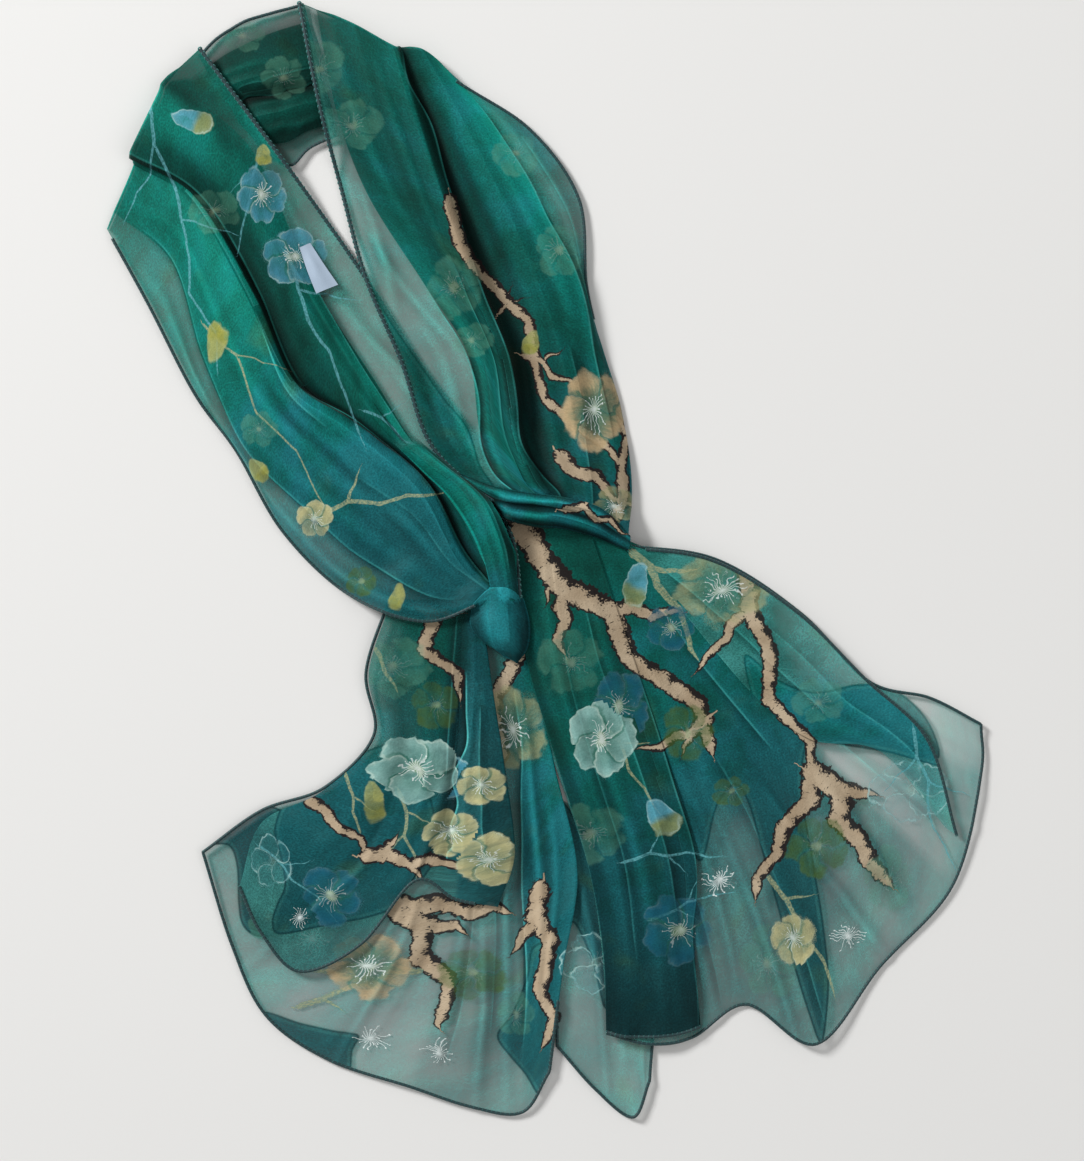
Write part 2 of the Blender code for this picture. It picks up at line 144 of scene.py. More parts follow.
# %% Rows of the knot
KNOT_BAND = (
    Run("lower_edge", cover=TIGHT, tone=(0.2, 0.25, 0.15),
        xs=(52, 31, 9, -9, -30, -58), ys=(6, 15, 21, 23, 30, 52)),
    Run("lower_crest", cover=TIGHT, tone=(0.95, 1.25, 1.0, 0.6),
        xs=(53, 32, 10, -8, -30, -58), ys=(8, 20, 27, 29, 34, 53)),
    Run("groove", cover=TIGHT, tone=(0.3, 0.35, 0.25, 0.2),
        xs=(54, 33, 11, -8, -30, -58), ys=(11, 25, 32, 35, 38, 54)),
    Run("upper_crest", cover=TIGHT, tone=(1.2, 1.75, 1.4, 0.7),
        xs=(54, 35, 13, -8, -30, -59), ys=(13, 28, 35, 38, 42, 55)),
    Run("upper_edge", cover=TIGHT, tone=(0.3, 0.5, 0.4, 0.2),
        xs=(54, 36, 14, -8, -31, -60), ys=(15, 32, 39, 42, 46, 57)),
)
KNOT_TURN = (
    Run("lower_edge", cover=(0, 3, 5, 5, 5, 5), tone=(0.6, 0.9, 1.1, 0.7),
        xs=(-103, -80, -59, -43, -34), ys=(79, 58, 37, 9, -26)),
    Run("lower_crest", cover=(0, 3, 5, 5, 5, 5), tone=(0.65, 0.72, 0.68, 0.6),
        xs=(-99, -76, -52, -37, -29), ys=(80, 61, 41, 9, -26)),
    Run("upper_crest", cover=(0, 3, 5, 5, 5, 5), tone=(0.75, 0.9, 0.9, 0.7),
        xs=(-94, -69, -43, -29, -23), ys=(82, 62, 40, 9, -26)),
    Run("upper_edge", cover=(0, 3, 5, 5, 5, 5), tone=(0.6, 0.75, 0.7, 0.4),
        xs=(-89, -63, -36, -22, -18), ys=(82, 60, 37, 7, -26)),
)
KNOT_WRAP = (
    Run("left_edge", cover=(5, 5, 5, 4), tone=(0.75, 0.45, 0.4),
        xs=(-47, -49, -43, -32), ys=(-29, -41, -51, -60)),
    Run("left_crest", cover=(5, 5, 5, 4), tone=(1.5, 1.25, 0.9),
        xs=(-37, -37, -34, -27), ys=(-20, -38, -54, -63)),
    Run("right_crest", cover=(5, 5, 5, 4), tone=(1.5, 1.1, 0.6),
        xs=(-25, -24, -23, -22), ys=(-19, -39, -56, -65)),
    Run("right_edge", cover=(5, 5, 5, 4), tone=(0.7, 0.4, 0.3),
        xs=(-15, -12, -13, -19), ys=(-26, -41, -56, -67)),
)

# %% [markdown]
# ## The left tail
#
# Below the knot the cloth opens again. The left tail is a sheer lower layer, an upper layer folded back over it
# with one dark pleat, and a lobe that shows beside it.

# %% Rows of the left tail
LEFT_TAIL = (
    Run("left_hem", cover=(1, 1, 1, 0.95), tone=(0.6, 0.85, 0.85, 0.85),
        xs=(-102, -117, -112, -144, -185, -223), ys=(-26, -73, -114, -148, -163, -190)),
    Run("left_run", cover=(1.2, 1.1, 1, 0.95), tone=(0.5, 0.7, 0.8, 0.85),
        xs=(-91, -100, -97, -121, -160, -204), ys=(-26, -75, -121, -173, -208, -251)),
    Run("corner_run", cover=(1.2, 1.1, 0.95, 0.85), tone=(0.5, 0.6, 0.85, 1),
        xs=(-79, -85, -82, -100, -132, -182), ys=(-26, -77, -130, -192, -244, -296)),
    Run("middle_run", cover=(1.2, 1.1, 1, 0.8), tone=(0.45, 0.6, 0.8, 0.95),
        xs=(-66, -69, -67, -78, -100, -141), ys=(-26, -78, -140, -208, -266, -325)),
    Run("centre_run", cover=(1.3, 1.1, 1, 1), tone=(0.4, 0.6, 0.85, 0.9),
        xs=(-53, -54, -52, -58, -69, -89), ys=(-26, -80, -147, -218, -280, -342)),
    Run("right_groove", cover=(1.4, 1.2, 1.2, 1.2, 1), tone=(0.35, 0.6, 0.8, 0.8),
        xs=(-39, -38, -37, -37, -40, -50), ys=(-26, -80, -150, -221, -286, -355)),
    Run("right_run", cover=(2, 2.2, 2.2, 2.2, 1), tone=(0.55, 0.65, 0.85, 1.1, 1.0), soft=1,
        xs=(-27, -22, -17, -15, -15, -16), ys=(-26, -78, -147, -218, -286, -359)),
    Run("right_fold", tone=(0.6, 0.9, 1.1, 1.1), soft=1,
        xs=(-15, -8, 4, 19, 10, 2), ys=(-26, -77, -134, -202, -267, -332)),
)
LEFT_FLAP = (
    Run("turned_edge", cover=(1.4, 1.2, 1.2, 1.1), tone=(0.6, 0.7, 0.9, 0.95), soft=6,
        xs=(-101, -115, -111, -145, -185, -199), ys=(-28, -73, -115, -150, -171, -212)),
    Run("flap_run", cover=(1.8, 1.5, 1.3, 1.2), tone=(0.5, 0.55, 0.75, 0.8),
        xs=(-90, -99, -97, -121, -152, -185), ys=(-28, -75, -123, -171, -202, -242)),
    Run("flap_corner", cover=(2, 1.8, 1.4, 1.2), tone=(0.5, 0.55, 0.7, 0.75),
        xs=(-78, -84, -82, -100, -124, -160), ys=(-28, -77, -129, -181, -218, -267)),
    Run("flap_middle", cover=(2.2, 2, 1.5, 1.2), tone=(0.45, 0.55, 0.8, 0.8),
        xs=(-65, -69, -71, -82, -98, -120), ys=(-28, -78, -134, -179, -215, -249)),
    Run("pleat_foot", cover=(2.4, 2.2, 1.8, 1.3), tone=(0.25, 0.35, 0.5, 0.8),
        xs=(-54, -56, -61, -67, -74, -85), ys=(-28, -81, -137, -175, -194, -208)),
    Run("pleat_ridge", cover=(4, 4, 3, 2), tone=(0.45, 0.95, 1.2, 0.9), soft=5,
        xs=(-48, -47, -51, -54, -54, -59), ys=(-28, -85, -136, -176, -199, -220)),
    Run("pleat_edge", tone=(0.5, 0.6, 0.6, 0.6), soft=1,
        xs=(-43, -35, -29, -23, -24, -32), ys=(-28, -91, -134, -177, -201, -225)),
)
LEFT_LOBE = (
    Run("inner_edge", tone=(0.9, 0.9),
        xs=(-4, 4, 6, 7), ys=(-150, -208, -260, -316)),
    Run("middle_run", tone=(0.95, 0.95),
        xs=(10, 23, 30, 32), ys=(-156, -215, -273, -344)),
    Run("outer_run", tone=(1, 1),
        xs=(25, 43, 53, 56), ys=(-166, -225, -290, -362)),
    Run("outer_hem", tone=(1, 1),
        xs=(38, 61, 69, 67), ys=(-179, -238, -293, -338)),
)

# %% [markdown]
# ## The right tail
#
# The right tail is a wide fan with a bunched column down its left side, and its upper edge is folded over it.

# %% Rows of the right tail
RIGHT_TAIL = (
    Run("left_edge", tone=(0.9, 0.9),
        xs=(-15, -10, 3, 26, 36, 39), ys=(24, -59, -124, -195, -254, -307)),
    Run("column_left", cover=(2, 1.2, 1, 1), tone=(0.9, 0.9),
        xs=(-7, 4, 22, 45, 59, 67), ys=(28, -56, -124, -195, -257, -314)),
    Run("column_right", cover=(2.4, 1.4, 1.3, 1.2), tone=(0.4, 0.5, 0.7, 0.75),
        xs=(1, 19, 41, 66, 84, 95), ys=(32, -52, -121, -192, -254, -310)),
    Run("middle_fold", cover=(2.8, 2, 1.3, 1.2), tone=(0.5, 0.6, 0.75, 0.8),
        xs=(9, 35, 64, 95, 116, 130), ys=(33, -46, -114, -182, -241, -289)),
    Run("pleat", cover=(3, 2.4, 1.3, 1.1), tone=(0.6, 0.75, 0.8, 0.9),
        xs=(19, 49, 84, 121, 150, 175), ys=(33, -36, -101, -173, -244, -314)),
    Run("hollow", cover=(2.6, 2, 1.2, 1), tone=(0.5, 0.6, 0.75, 0.85),
        xs=(28, 64, 105, 149, 186, 217), ys=(30, -30, -88, -153, -212, -264)),
    Run("upper_fold", cover=(2.4, 1.1, 0.6, 0.9), tone=(0.6, 0.75, 0.85, 0.9),
        xs=(36, 77, 124, 175, 222, 264), ys=(25, -22, -72, -124, -169, -211)),
    Run("upper_run", cover=(2.2, 0.8, 0.4, 0.7), tone=(0.6, 0.8, 0.9, 1.1),
        xs=(44, 92, 145, 194, 241, 282), ys=(18, -13, -56, -91, -117, -139)),
    Run("upper_hem", tone=(0.7, 0.9, 1.1, 1.15),
        xs=(51, 110, 165, 209, 249, 282), ys=(9, 0, -35, -79, -90, -107)),
)
RIGHT_COLUMN = (
    Run("left_edge", cover=(3, 3, 3.4, 3), tone=(0.3, 0.35, 0.4, 0.4, 0.3), soft=4,
        xs=(-25, -14, 5, 27, 37, 39), ys=(23, -59, -125, -197, -254, -306)),
    Run("left_crest", cover=BUNCHED, tone=(0.55, 0.55, 0.6, 0.6, 0.4),
        xs=(-4, 4, 22, 44, 53, 54), ys=(27, -58, -125, -197, -254, -309)),
    Run("right_crest", cover=BUNCHED, tone=(0.5, 0.55, 0.6, 0.6, 0.45),
        xs=(9, 25, 48, 71, 79, 82), ys=(30, -52, -124, -194, -253, -308)),
    Run("right_edge", tone=(0.4, 0.4, 0.45, 0.4, 0.3), soft=1,
        xs=(24, 49, 74, 96, 96, 100), ys=(30, -43, -117, -190, -251, -303)),
)
RIGHT_LEAF = (
    Run("lower_fold", cover=(1.4, 1.1, 1, 0.8), tone=(0.7, 0.85, 0.95, 1.1),
        xs=(36, 85, 131, 170, 217, 260), ys=(23, -30, -84, -116, -125, -175)),
    Run("middle_run", cover=(1.3, 1.1, 0.9, 0.8), tone=(0.75, 0.95, 1.05, 1.2),
        xs=(43, 98, 148, 189, 232, 263), ys=(16, -17, -59, -99, -128, -177)),
    Run("upper_hem", tone=(0.8, 1.05, 1.2, 1.3),
        xs=(50, 108, 162, 206, 247, 266), ys=(8, -1, -34, -77, -117, -179)),
)

# %% [markdown]
# ## The care label
#
# Two rows are enough for a short piece of tape.

# %% Rows of the care label
CARE_LABEL = (
    Run("left_side", tone=(1, 1), soft=1,
        xs=(-160, -155, -149), ys=(202, 187, 172)),
    Run("right_side", tone=(1, 1), soft=1,
        xs=(-153, -144, -135), ys=(205, 191, 178)),
)

# %% [markdown]
# ## Creases placed one by one
#
# The long folds are in the tables above. Real chiffon also has finer creases: soft ridges where the cloth is
# pulled towards the knot, and slow waves where it lies loose. They are placed one by one, because even spacing
# would look like a machine pleat. Places count the rows, so 2.5 is half way between the third row and the fourth.

# %% Finer creases
NECK_CREASES = (
    Crease(1.5, 1.7, 0.0, 0.7, 1.6, 3.0), Crease(2.4, 2.6, 0.2, 1.0, 1.8, 3.0),
    Crease(3.6, 3.4, 0.0, 0.9, 1.6, 2.6), Crease(4.5, 4.6, 0.1, 1.0, 1.5, 2.6),
)
LEFT_ARM_CREASES = (
    Crease(1.35, 1.6, 0.02, 0.55, 2.2, 4.5), Crease(1.75, 1.45, 0.3, 0.8, -1.8, 4.6),
    Crease(1.5, 1.85, 0.6, 1.0, 1.5, 4.6), Crease(1.2, 1.3, 0.4, 0.9, 1.2, 5.4),
    Crease(3.4, 3.6, 0.03, 0.3, -1.8, 5.0), Crease(3.5, 3.3, 0.2, 0.62, 1.6, 5.0),
    Crease(4.4, 4.6, 0.1, 0.5, 1.4, 6.0), Crease(4.6, 4.3, 0.45, 0.9, -1.8, 4.0),
    Crease(5.2, 5.7, 0.15, 0.6, 2.0, 4.0), Crease(5.6, 5.2, 0.45, 0.95, 2.2, 4.0),
    Crease(5.4, 5.9, 0.36, 0.5, 1.8, 2.6), Crease(0.3, 0.8, 0.08, 0.5, 2.2, 4.0),
    Crease(0.7, 0.3, 0.35, 0.75, 2.0, 3.6), Crease(0.4, 0.5, 0.6, 0.98, 2.2, 4.0),
    Crease(3.7, 3.9, 0.6, 0.98, 2.4, 3.4),
)
RIGHT_ARM_CREASES = (
    Crease(1.4, 1.7, 0.0, 0.45, 1.8, 5.0), Crease(1.7, 1.5, 0.35, 0.85, -1.6, 4.5),
    Crease(2.4, 2.5, 0.05, 0.5, 1.7, 4.0), Crease(2.6, 2.4, 0.4, 0.9, 1.9, 3.6),
    Crease(4.4, 4.7, 0.05, 0.5, -1.7, 4.5), Crease(4.7, 4.4, 0.4, 0.95, 2.0, 4.2),
    Crease(5.4, 5.5, 0.1, 0.6, 1.5, 5.0), Crease(5.6, 5.5, 0.5, 0.95, -1.8, 4.5),
    Crease(6.4, 6.6, 0.1, 0.5, 1.8, 3.0), Crease(0.8, 0.2, 0.26, 0.5, 2.6, 4.0),
    Crease(0.3, 0.9, 0.3, 0.62, 2.4, 3.6), Crease(0.5, 0.75, 0.5, 0.92, 3.0, 4.2),
    Crease(0.2, 0.3, 0.55, 0.85, -1.6, 3.4), Crease(1.2, 1.3, 0.6, 1.0, 2.0, 3.5),
)
KNOT_BAND_CREASES = (
    Crease(0.6, 0.9, 0.1, 0.9, 1.3, 1.6), Crease(1.5, 1.4, 0.0, 0.8, -1.4, 1.5),
    Crease(2.6, 2.4, 0.2, 1.0, 1.3, 1.5), Crease(3.4, 3.5, 0.0, 0.7, -1.0, 1.4),
)
KNOT_TURN_CREASES = (Crease(1.5, 1.2, 0.15, 0.95, -1.0, 3.4),)
KNOT_WRAP_CREASES = (
    Crease(1.5, 1.5, -0.5, 0.95, 4.5, 12.0), Crease(2.3, 1.9, 0.35, 1.0, -0.7, 3.4),
)
LEFT_TAIL_CREASES = (
    Crease(0.5, 0.8, 0.3, 0.9, 1.6, 5.0), Crease(1.7, 1.3, 0.4, 1.02, 2.4, 4.2),
    Crease(2.4, 2.8, 0.45, 0.98, 2.0, 5.5), Crease(2.9, 3.1, 0.62, 1.02, 2.4, 3.2),
    Crease(3.7, 3.4, 0.5, 1.0, -1.6, 4.0), Crease(4.5, 4.2, 0.35, 0.95, 2.4, 4.5),
    Crease(4.8, 5.1, 0.6, 1.02, 2.2, 3.4), Crease(5.5, 5.6, 0.35, 1.0, 2.2, 3.6),
    Crease(6.3, 6.4, 0.2, 0.9, 2.4, 3.2), Crease(6.7, 6.6, 0.45, 0.85, 1.8, 2.4),
)
LEFT_FLAP_CREASES = (
    Crease(0.6, 0.8, 0.1, 0.8, 1.6, 6.0), Crease(1.5, 1.4, 0.2, 0.95, -1.4, 5.0),
    Crease(2.4, 2.6, 0.05, 0.7, 2.0, 5.0), Crease(3.4, 3.6, 0.1, 0.9, 1.8, 4.5),
    Crease(4.4, 4.5, 0.1, 0.9, -1.6, 3.5), Crease(5.4, 5.5, 0.15, 0.85, 1.5, 3.0),
)
LEFT_LOBE_CREASES = (
    Crease(0.9, 1.3, 0.1, 1.0, 2.6, 4.0), Crease(2.1, 1.8, 0.0, 0.9, 2.2, 3.4),
    Crease(2.5, 2.6, 0.4, 1.02, 1.6, 3.0),
)
RIGHT_TAIL_CREASES = (
    Crease(2.4, 2.5, 0.4, 1.02, 2.4, 4.0), Crease(3.2, 2.9, 0.45, 0.98, 1.8, 3.0),
    Crease(3.5, 3.4, 0.05, 0.8, 2.0, 5.5), Crease(3.8, 3.7, 0.5, 1.02, 2.6, 3.6),
    Crease(4.4, 4.6, 0.2, 0.95, -1.6, 6.0), Crease(4.9, 5.1, 0.55, 1.02, 2.2, 3.4),
    Crease(5.4, 5.5, 0.15, 0.8, 2.0, 7.0), Crease(5.8, 5.5, 0.5, 0.98, 2.8, 5.0),
    Crease(6.3, 6.5, 0.55, 1.02, 2.4, 4.0), Crease(6.5, 6.6, 0.1, 0.7, 1.8, 5.0),
    Crease(6.8, 6.7, 0.6, 0.98, -1.8, 5.0), Crease(7.4, 7.3, 0.4, 0.98, 1.8, 5.0),
)
RIGHT_COLUMN_CREASES = (
    Crease(0.5, 0.7, 0.05, 0.7, 1.6, 4.0), Crease(1.4, 1.3, 0.1, 0.9, -2.0, 4.0),
    Crease(1.6, 1.8, 0.3, 1.0, 1.6, 4.5), Crease(2.5, 2.3, 0.05, 0.6, 1.7, 4.5),
    Crease(2.4, 2.6, 0.5, 1.0, -1.2, 4.5),
)
RIGHT_LEAF_CREASES = (
    Crease(0.5, 0.7, 0.15, 0.8, 1.5, 6.0), Crease(1.4, 1.3, 0.1, 0.9, 1.3, 6.0),
    Crease(1.0, 0.8, 0.5, 1.0, -1.2, 6.0),
)

# %% [markdown]
# ## Folded edges
#
# Where a fold lies on the cloth beside it, its edge is a crisp line. The net is too coarse for a line a millimetre
# wide, so the mesh only gets a low step there, and the finish paints the rest: a painted highlight along the rim
# on top and a painted shadow in a dark strip just beside it. A **Lip** runs between two places like a crease.
# **over** is 1 where the later rows lie on top and -1 where the earlier ones do, and **strength** says how clear the
# line is.

# %% Folded edges
Lip = namedtuple("Lip", "place_from place_to start end over strength")
LIPS = {
    "neck_back": (Lip(3.0, 3.0, 0.0, 1.0, -1, 0.5), Lip(2.3, 2.1, 0.1, 1.0, -1, 0.4)),
    "left_arm": (
        Lip(3.0, 3.0, -0.05, 0.47, 1, 0.7), Lip(3.0, 3.0, 0.40, 1.0, -1, 1.0), Lip(1.0, 1.0, 0.02, 0.95, 1, 0.45),
        Lip(5.0, 5.0, 0.2, 0.92, -1, 0.6), Lip(2.2, 1.8, 0.08, 0.55, 1, 0.4), Lip(4.35, 4.1, 0.48, 1.02, -1, 0.8),
        Lip(1.6, 1.9, 0.6, 1.02, 1, 0.22),
    ),
    "right_arm": (
        Lip(4.0, 4.0, -0.05, 1.03, -1, 1.0), Lip(6.0, 6.0, 0.06, 0.8, -1, 0.6), Lip(1.0, 1.0, 0.42, 0.97, -1, 0.9),
        Lip(2.5, 2.4, 0.35, 1.02, -1, 0.45), Lip(5.3, 5.1, 0.55, 1.03, -1, 0.5), Lip(6.5, 6.6, 0.15, 0.42, 1, 0.4),
    ),
    "knot_band": (Lip(2.0, 2.0, 0.0, 1.0, 1, 0.5),),
    "knot_turn": (Lip(2.5, 2.3, 0.1, 0.9, -1, 0.6),),
    "left_tail": (
        Lip(6.0, 6.0, 0.2, 0.92, 1, 0.7), Lip(4.6, 4.4, 0.45, 0.97, 1, 0.3), Lip(5.3, 5.2, 0.3, 0.9, -1, 0.3),
    ),
    "left_flap": (
        Lip(4.6, 4.5, 0.12, 0.86, 1, 1.0), Lip(3.5, 3.7, 0.0, 0.45, 1, 0.5), Lip(5.4, 5.5, 0.2, 0.7, -1, 0.5),
    ),
    "left_lobe": (Lip(1.6, 1.5, 0.0, 0.8, -1, 0.3),),
    "right_tail": (
        Lip(4.4, 4.2, 0.45, 1.0, 1, 0.3), Lip(6.4, 6.3, 0.45, 0.95, -1, 0.3), Lip(2.7, 2.6, 0.5, 1.0, 1, 0.3),
        Lip(5.3, 5.4, 0.2, 0.55, 1, 0.5),
    ),
    "right_column": (
        Lip(1.3, 1.2, 0.0, 0.85, 1, 0.4), Lip(2.2, 2.35, 0.1, 0.8, -1, 0.45), Lip(3.0, 3.0, 0.2, 1.05, -1, 0.7),
    ),
    "right_leaf": (Lip(0.6, 0.8, 0.1, 0.6, 1, 0.5), Lip(1.3, 1.4, 0.3, 0.9, -1, 0.3)),
}

# %% [markdown]
# ## All the stretches, in the order in which they are laid
#
# **hue** says how far the dye has run from emerald (0) to deep teal (1), at places along the stretch.
# **rolled** names the sides where the cloth turns under itself, and **hems** the sides that are real edges of the
# cloth, as one path: a side, and the places where the hem starts and ends on it.

# %% The scarf's stretches
HUE_OF_ROWS = {  # how much bluer (or, below zero, greener) the dye is at each row
    "left_arm": (0.1, 0.12, 0.08, -0.3, -0.4, -0.4, -0.3),
    "left_flap": (0, 0, 0, 0, 0.25, 0.5, 0.4),
    "left_tail": (0, 0, 0, 0, 0, 0, -0.05, -0.1),
    "right_arm": (0.1, 0.1, 0.1, 0.1, 0.0, 0.15, 0.1, 0.3),
}
STRETCHES = (
    Stretch("neck_back", NECK_BACK, (0.05, 0.0, 0.0, 0.0), NECK_CREASES, ("start", "end"),
            ((("first", 0, 1),), (("last", 0, 1),)), "chiffon_deep_green"),
    Stretch("left_lobe", LEFT_LOBE, (0.9, 0.95, 1.0, 1.0), LEFT_LOBE_CREASES, (),
            ((("first", 0.2, 1), ("end", 0, 1), ("last", 1, 0.1)),), "chiffon_teal"),
    Stretch("left_tail", LEFT_TAIL, (0.25, 0.5, 0.85, 1.0), LEFT_TAIL_CREASES, ("last",),
            ((("first", 0, 1), ("end", 0, 1), ("last", 1, 0.86)),), "chiffon_teal"),
    Stretch("left_flap", LEFT_FLAP, (0.1, 0.4, 0.75, 0.95), LEFT_FLAP_CREASES, ("last",),
            ((("end", 0, 0.93),),), "chiffon_teal"),
    Stretch("right_tail", RIGHT_TAIL, (0.1, 0.35, 0.8, 1.0), RIGHT_TAIL_CREASES, (),
            ((("end", 0, 1), ("last", 1, 0)),), "chiffon_teal"),
    Stretch("right_column", RIGHT_COLUMN, (0.05, 0.2, 0.6, 0.95), RIGHT_COLUMN_CREASES, ("first",),
            ((("end", 0, 1),),), "chiffon_deep_green"),
    Stretch("right_leaf", RIGHT_LEAF, (0.15, 0.4, 0.6, 0.85), RIGHT_LEAF_CREASES, ("first",),
            ((("last", 0.05, 1),),), "chiffon_emerald"),
    Stretch("left_arm", LEFT_ARM, (0.0, 0.0, 0.4, 0.65, 0.6), LEFT_ARM_CREASES, ("start",),
            ((("first", 0.02, 0.97),), (("last", 0, 1),)), "chiffon_emerald"),
    Stretch("right_arm", RIGHT_ARM, (0.05, 0.15, 0.1, 0.2, 0.45), RIGHT_ARM_CREASES, ("start", "last"),
            ((("first", 0, 1),), (("last", 0, 0.5),)), "chiffon_deep_green"),
    Stretch("knot_band", KNOT_BAND, (0.6, 0.55, 0.45, 0.35), KNOT_BAND_CREASES, ("first", "last", "start", "end"),
            (), "chiffon_deep_green"),
    Stretch("knot_turn", KNOT_TURN, (0.15, 0.15, 0.25, 0.45), KNOT_TURN_CREASES, ("first", "last", "end"),
            (), "chiffon_emerald"),
    Stretch("knot_wrap", KNOT_WRAP, (0.65, 0.7, 0.65, 0.6), KNOT_WRAP_CREASES, ("first", "last", "start", "end"),
            (), "chiffon_blue"),
)
print(len(STRETCHES), "stretches,", sum(len(s.runs) for s in STRETCHES), "rows,",
      sum(len(s.creases) for s in STRETCHES), "creases")

# %% [markdown]
# ## From rows to a fine net of points
#
# A smooth curve through each row gives the folds, and a smooth curve across the rows gives the cloth between
# them. Close to each row there are two extra columns, a hair apart, so that a colour or a layer can change there
# along a sharp line, which is what the edge of a hidden layer looks like.

# %% Smooth curves
def curve_through(values, places):
    """A smooth curve through evenly spaced values, read at places that run from 0 to 1."""
    values = np.asarray(values, float)
    padded = np.concatenate([[2 * values[0] - values[1]], values, [2 * values[-1] - values[-2]]])
    at = np.clip(places, 0, 1) * (len(values) - 1)
    index = np.minimum(at.astype(int), len(values) - 2)
    t = (at - index).reshape(-1, *[1] * (values.ndim - 1))
    p0, p1, p2, p3 = (padded[index + k] for k in range(4))
    return 0.5 * (
        2 * p1 + (p2 - p0) * t + (2 * p0 - 5 * p1 + 4 * p2 - p3) * t**2 + (3 * (p1 - p2) + p3 - p0) * t**3
    )


def smooth(t):
    """0 below 0, 1 above 1, and an eased ramp between them."""
    t = np.clip(t, 0, 1)
    return t * t * (3 - 2 * t)


def eased(values, places):
    """Values that ease from one to the next, read at places that run from 0 to 1."""
    values = np.asarray(values, float)
    at = np.clip(places, 0, 1) * (len(values) - 1)
    index = np.minimum(at.astype(int), len(values) - 2)
    t = smooth(at - index).reshape(-1, *[1] * (values.ndim - 1))
    return values[index] * (1 - t) + values[index + 1] * t


def distances(x, y, axis):
    """How far, in mm, each point of the net lies from its first one, along the net's rows (0) or columns (1)."""
    steps = np.hypot(np.diff(x, axis=axis), np.diff(y, axis=axis))
    start = np.zeros_like(np.take(steps, [0], axis))
    return np.concatenate([start, np.cumsum(steps, axis=axis)], axis)


# %% Points and layers of a net
GRAIN = 1.9  # mm between points of the net
HAIR = 0.02  # how far the extra columns stand from a row, as a share of the way to the next one


def net_of(runs):
    """(along, across, x, y): the net's places along the folds and across them, and its points in mm."""
    longest = max(np.hypot(np.diff(run.xs), np.diff(run.ys)).sum() for run in runs)
    along = np.linspace(0, 1, int(longest / GRAIN) + 2)
    x = np.array([curve_through(run.xs, along) for run in runs])
    y = np.array([curve_through(run.ys, along) for run in runs])
    across = [0.0]
    for k in range(len(runs) - 1):
        widest = np.hypot(x[k + 1] - x[k], y[k + 1] - y[k]).max()
        steps = max(2, round(widest / GRAIN))
        across += [k + HAIR, *(k + np.arange(1, steps) / steps), k + 1 - HAIR, k + 1]
    across = np.array(across)
    places = across / (len(runs) - 1)
    return along, across, curve_through(x, places).T, curve_through(y, places).T


def spread_over(runs, along, across, x, y):
    """Cover and painted light and shade at each point of the net. Cover changes at each row within that row's soft
    width.
    """
    last = len(runs) - 2
    span = np.minimum(across.astype(int), last)
    travelled = distances(x, y, 1)
    at_row = travelled[:, np.searchsorted(across, np.arange(len(runs)))]
    cover = np.array([eased(run.cover, along) for run in runs]).T
    soft = np.array([run.soft for run in runs], float) * 0.5
    from_left = (travelled - at_row[:, span]) / soft[span]
    from_right = (at_row[:, span + 1] - travelled) / soft[span + 1]
    here = cover[:, span]
    left = cover[:, np.maximum(span - 1, 0)] - here
    right = cover[:, np.minimum(span + 1, last)] - here
    covers = here + 0.5 * left * (1 - smooth(from_left)) + 0.5 * right * (1 - smooth(from_right))
    painted_lights = np.array([eased(run.tone, along) for run in runs])
    return covers, eased(painted_lights, across / (len(runs) - 1)).T


# %% [markdown]
# ## Laying the sheets
#
# Each sheet takes its height from the top of its own solid, found by dropping a ray on it at every point. The
# heights are softened, the creases are added, and then the sheet is lifted wherever a sheet laid before it would
# come through. On the rolled sides a few more points turn the cloth down and under, so that a fold has a round
# lip and no open edge.

# %% Heights of the solids
PROBE_TOP = 0.5  # metres, well above the scarf
PROBE_FOOT = -0.01  # metres, below it


def tree_of(objects):
    """One search tree over the triangles of these objects."""
    corners = []
    faces = []
    for obj in objects:
        start = len(corners)
        corners += [vertex.co.copy() for vertex in obj.data.vertices]
        faces += [[start + index for index in face.vertices] for face in obj.data.polygons]
    return BVHTree.FromPolygons(corners, faces)


def heights_on(tree, x, y, from_below=False):
    """The height in mm of what the tree holds at each point, or NaN where there is nothing."""
    start, way = (PROBE_FOOT, Vector((0, 0, 1))) if from_below else (PROBE_TOP, Vector((0, 0, -1)))
    found = np.full(x.shape, np.nan)
    for at in np.ndindex(x.shape):
        hit = tree.ray_cast(Vector((x[at] * MM, y[at] * MM, start)), way)[0]
        if hit is not None:
            found[at] = hit.z / MM
    return found


def fill_gaps(values):
    """Gives each NaN the mean of its neighbours, ring by ring."""
    values = values.copy()
    while np.isnan(values).any():
        padded = np.pad(values, 1, constant_values=np.nan)
        around = np.stack([padded[:-2, 1:-1], padded[2:, 1:-1], padded[1:-1, :-2], padded[1:-1, 2:]])
        known = ~np.isnan(around)
        mean = np.where(known, around, 0).sum(0) / np.maximum(known.sum(0), 1)
        take = np.isnan(values) & known.any(0)
        values[take] = mean[take]
    return values


def soften(values, along_passes, across_passes):
    """Evens out the small steps of the solid's facets."""
    for axis, passes in ((0, along_passes), (1, across_passes)):
        values = np.moveaxis(values, axis, 0)
        for _ in range(passes):
            inner = (values[:-2] + 2 * values[1:-1] + values[2:]) / 4
            values = np.concatenate([values[:1], inner, values[-1:]])
        values = np.moveaxis(values, 0, axis)
    return values


# %% Creases
CREASE_WANDER = 1.2  # mm to either side


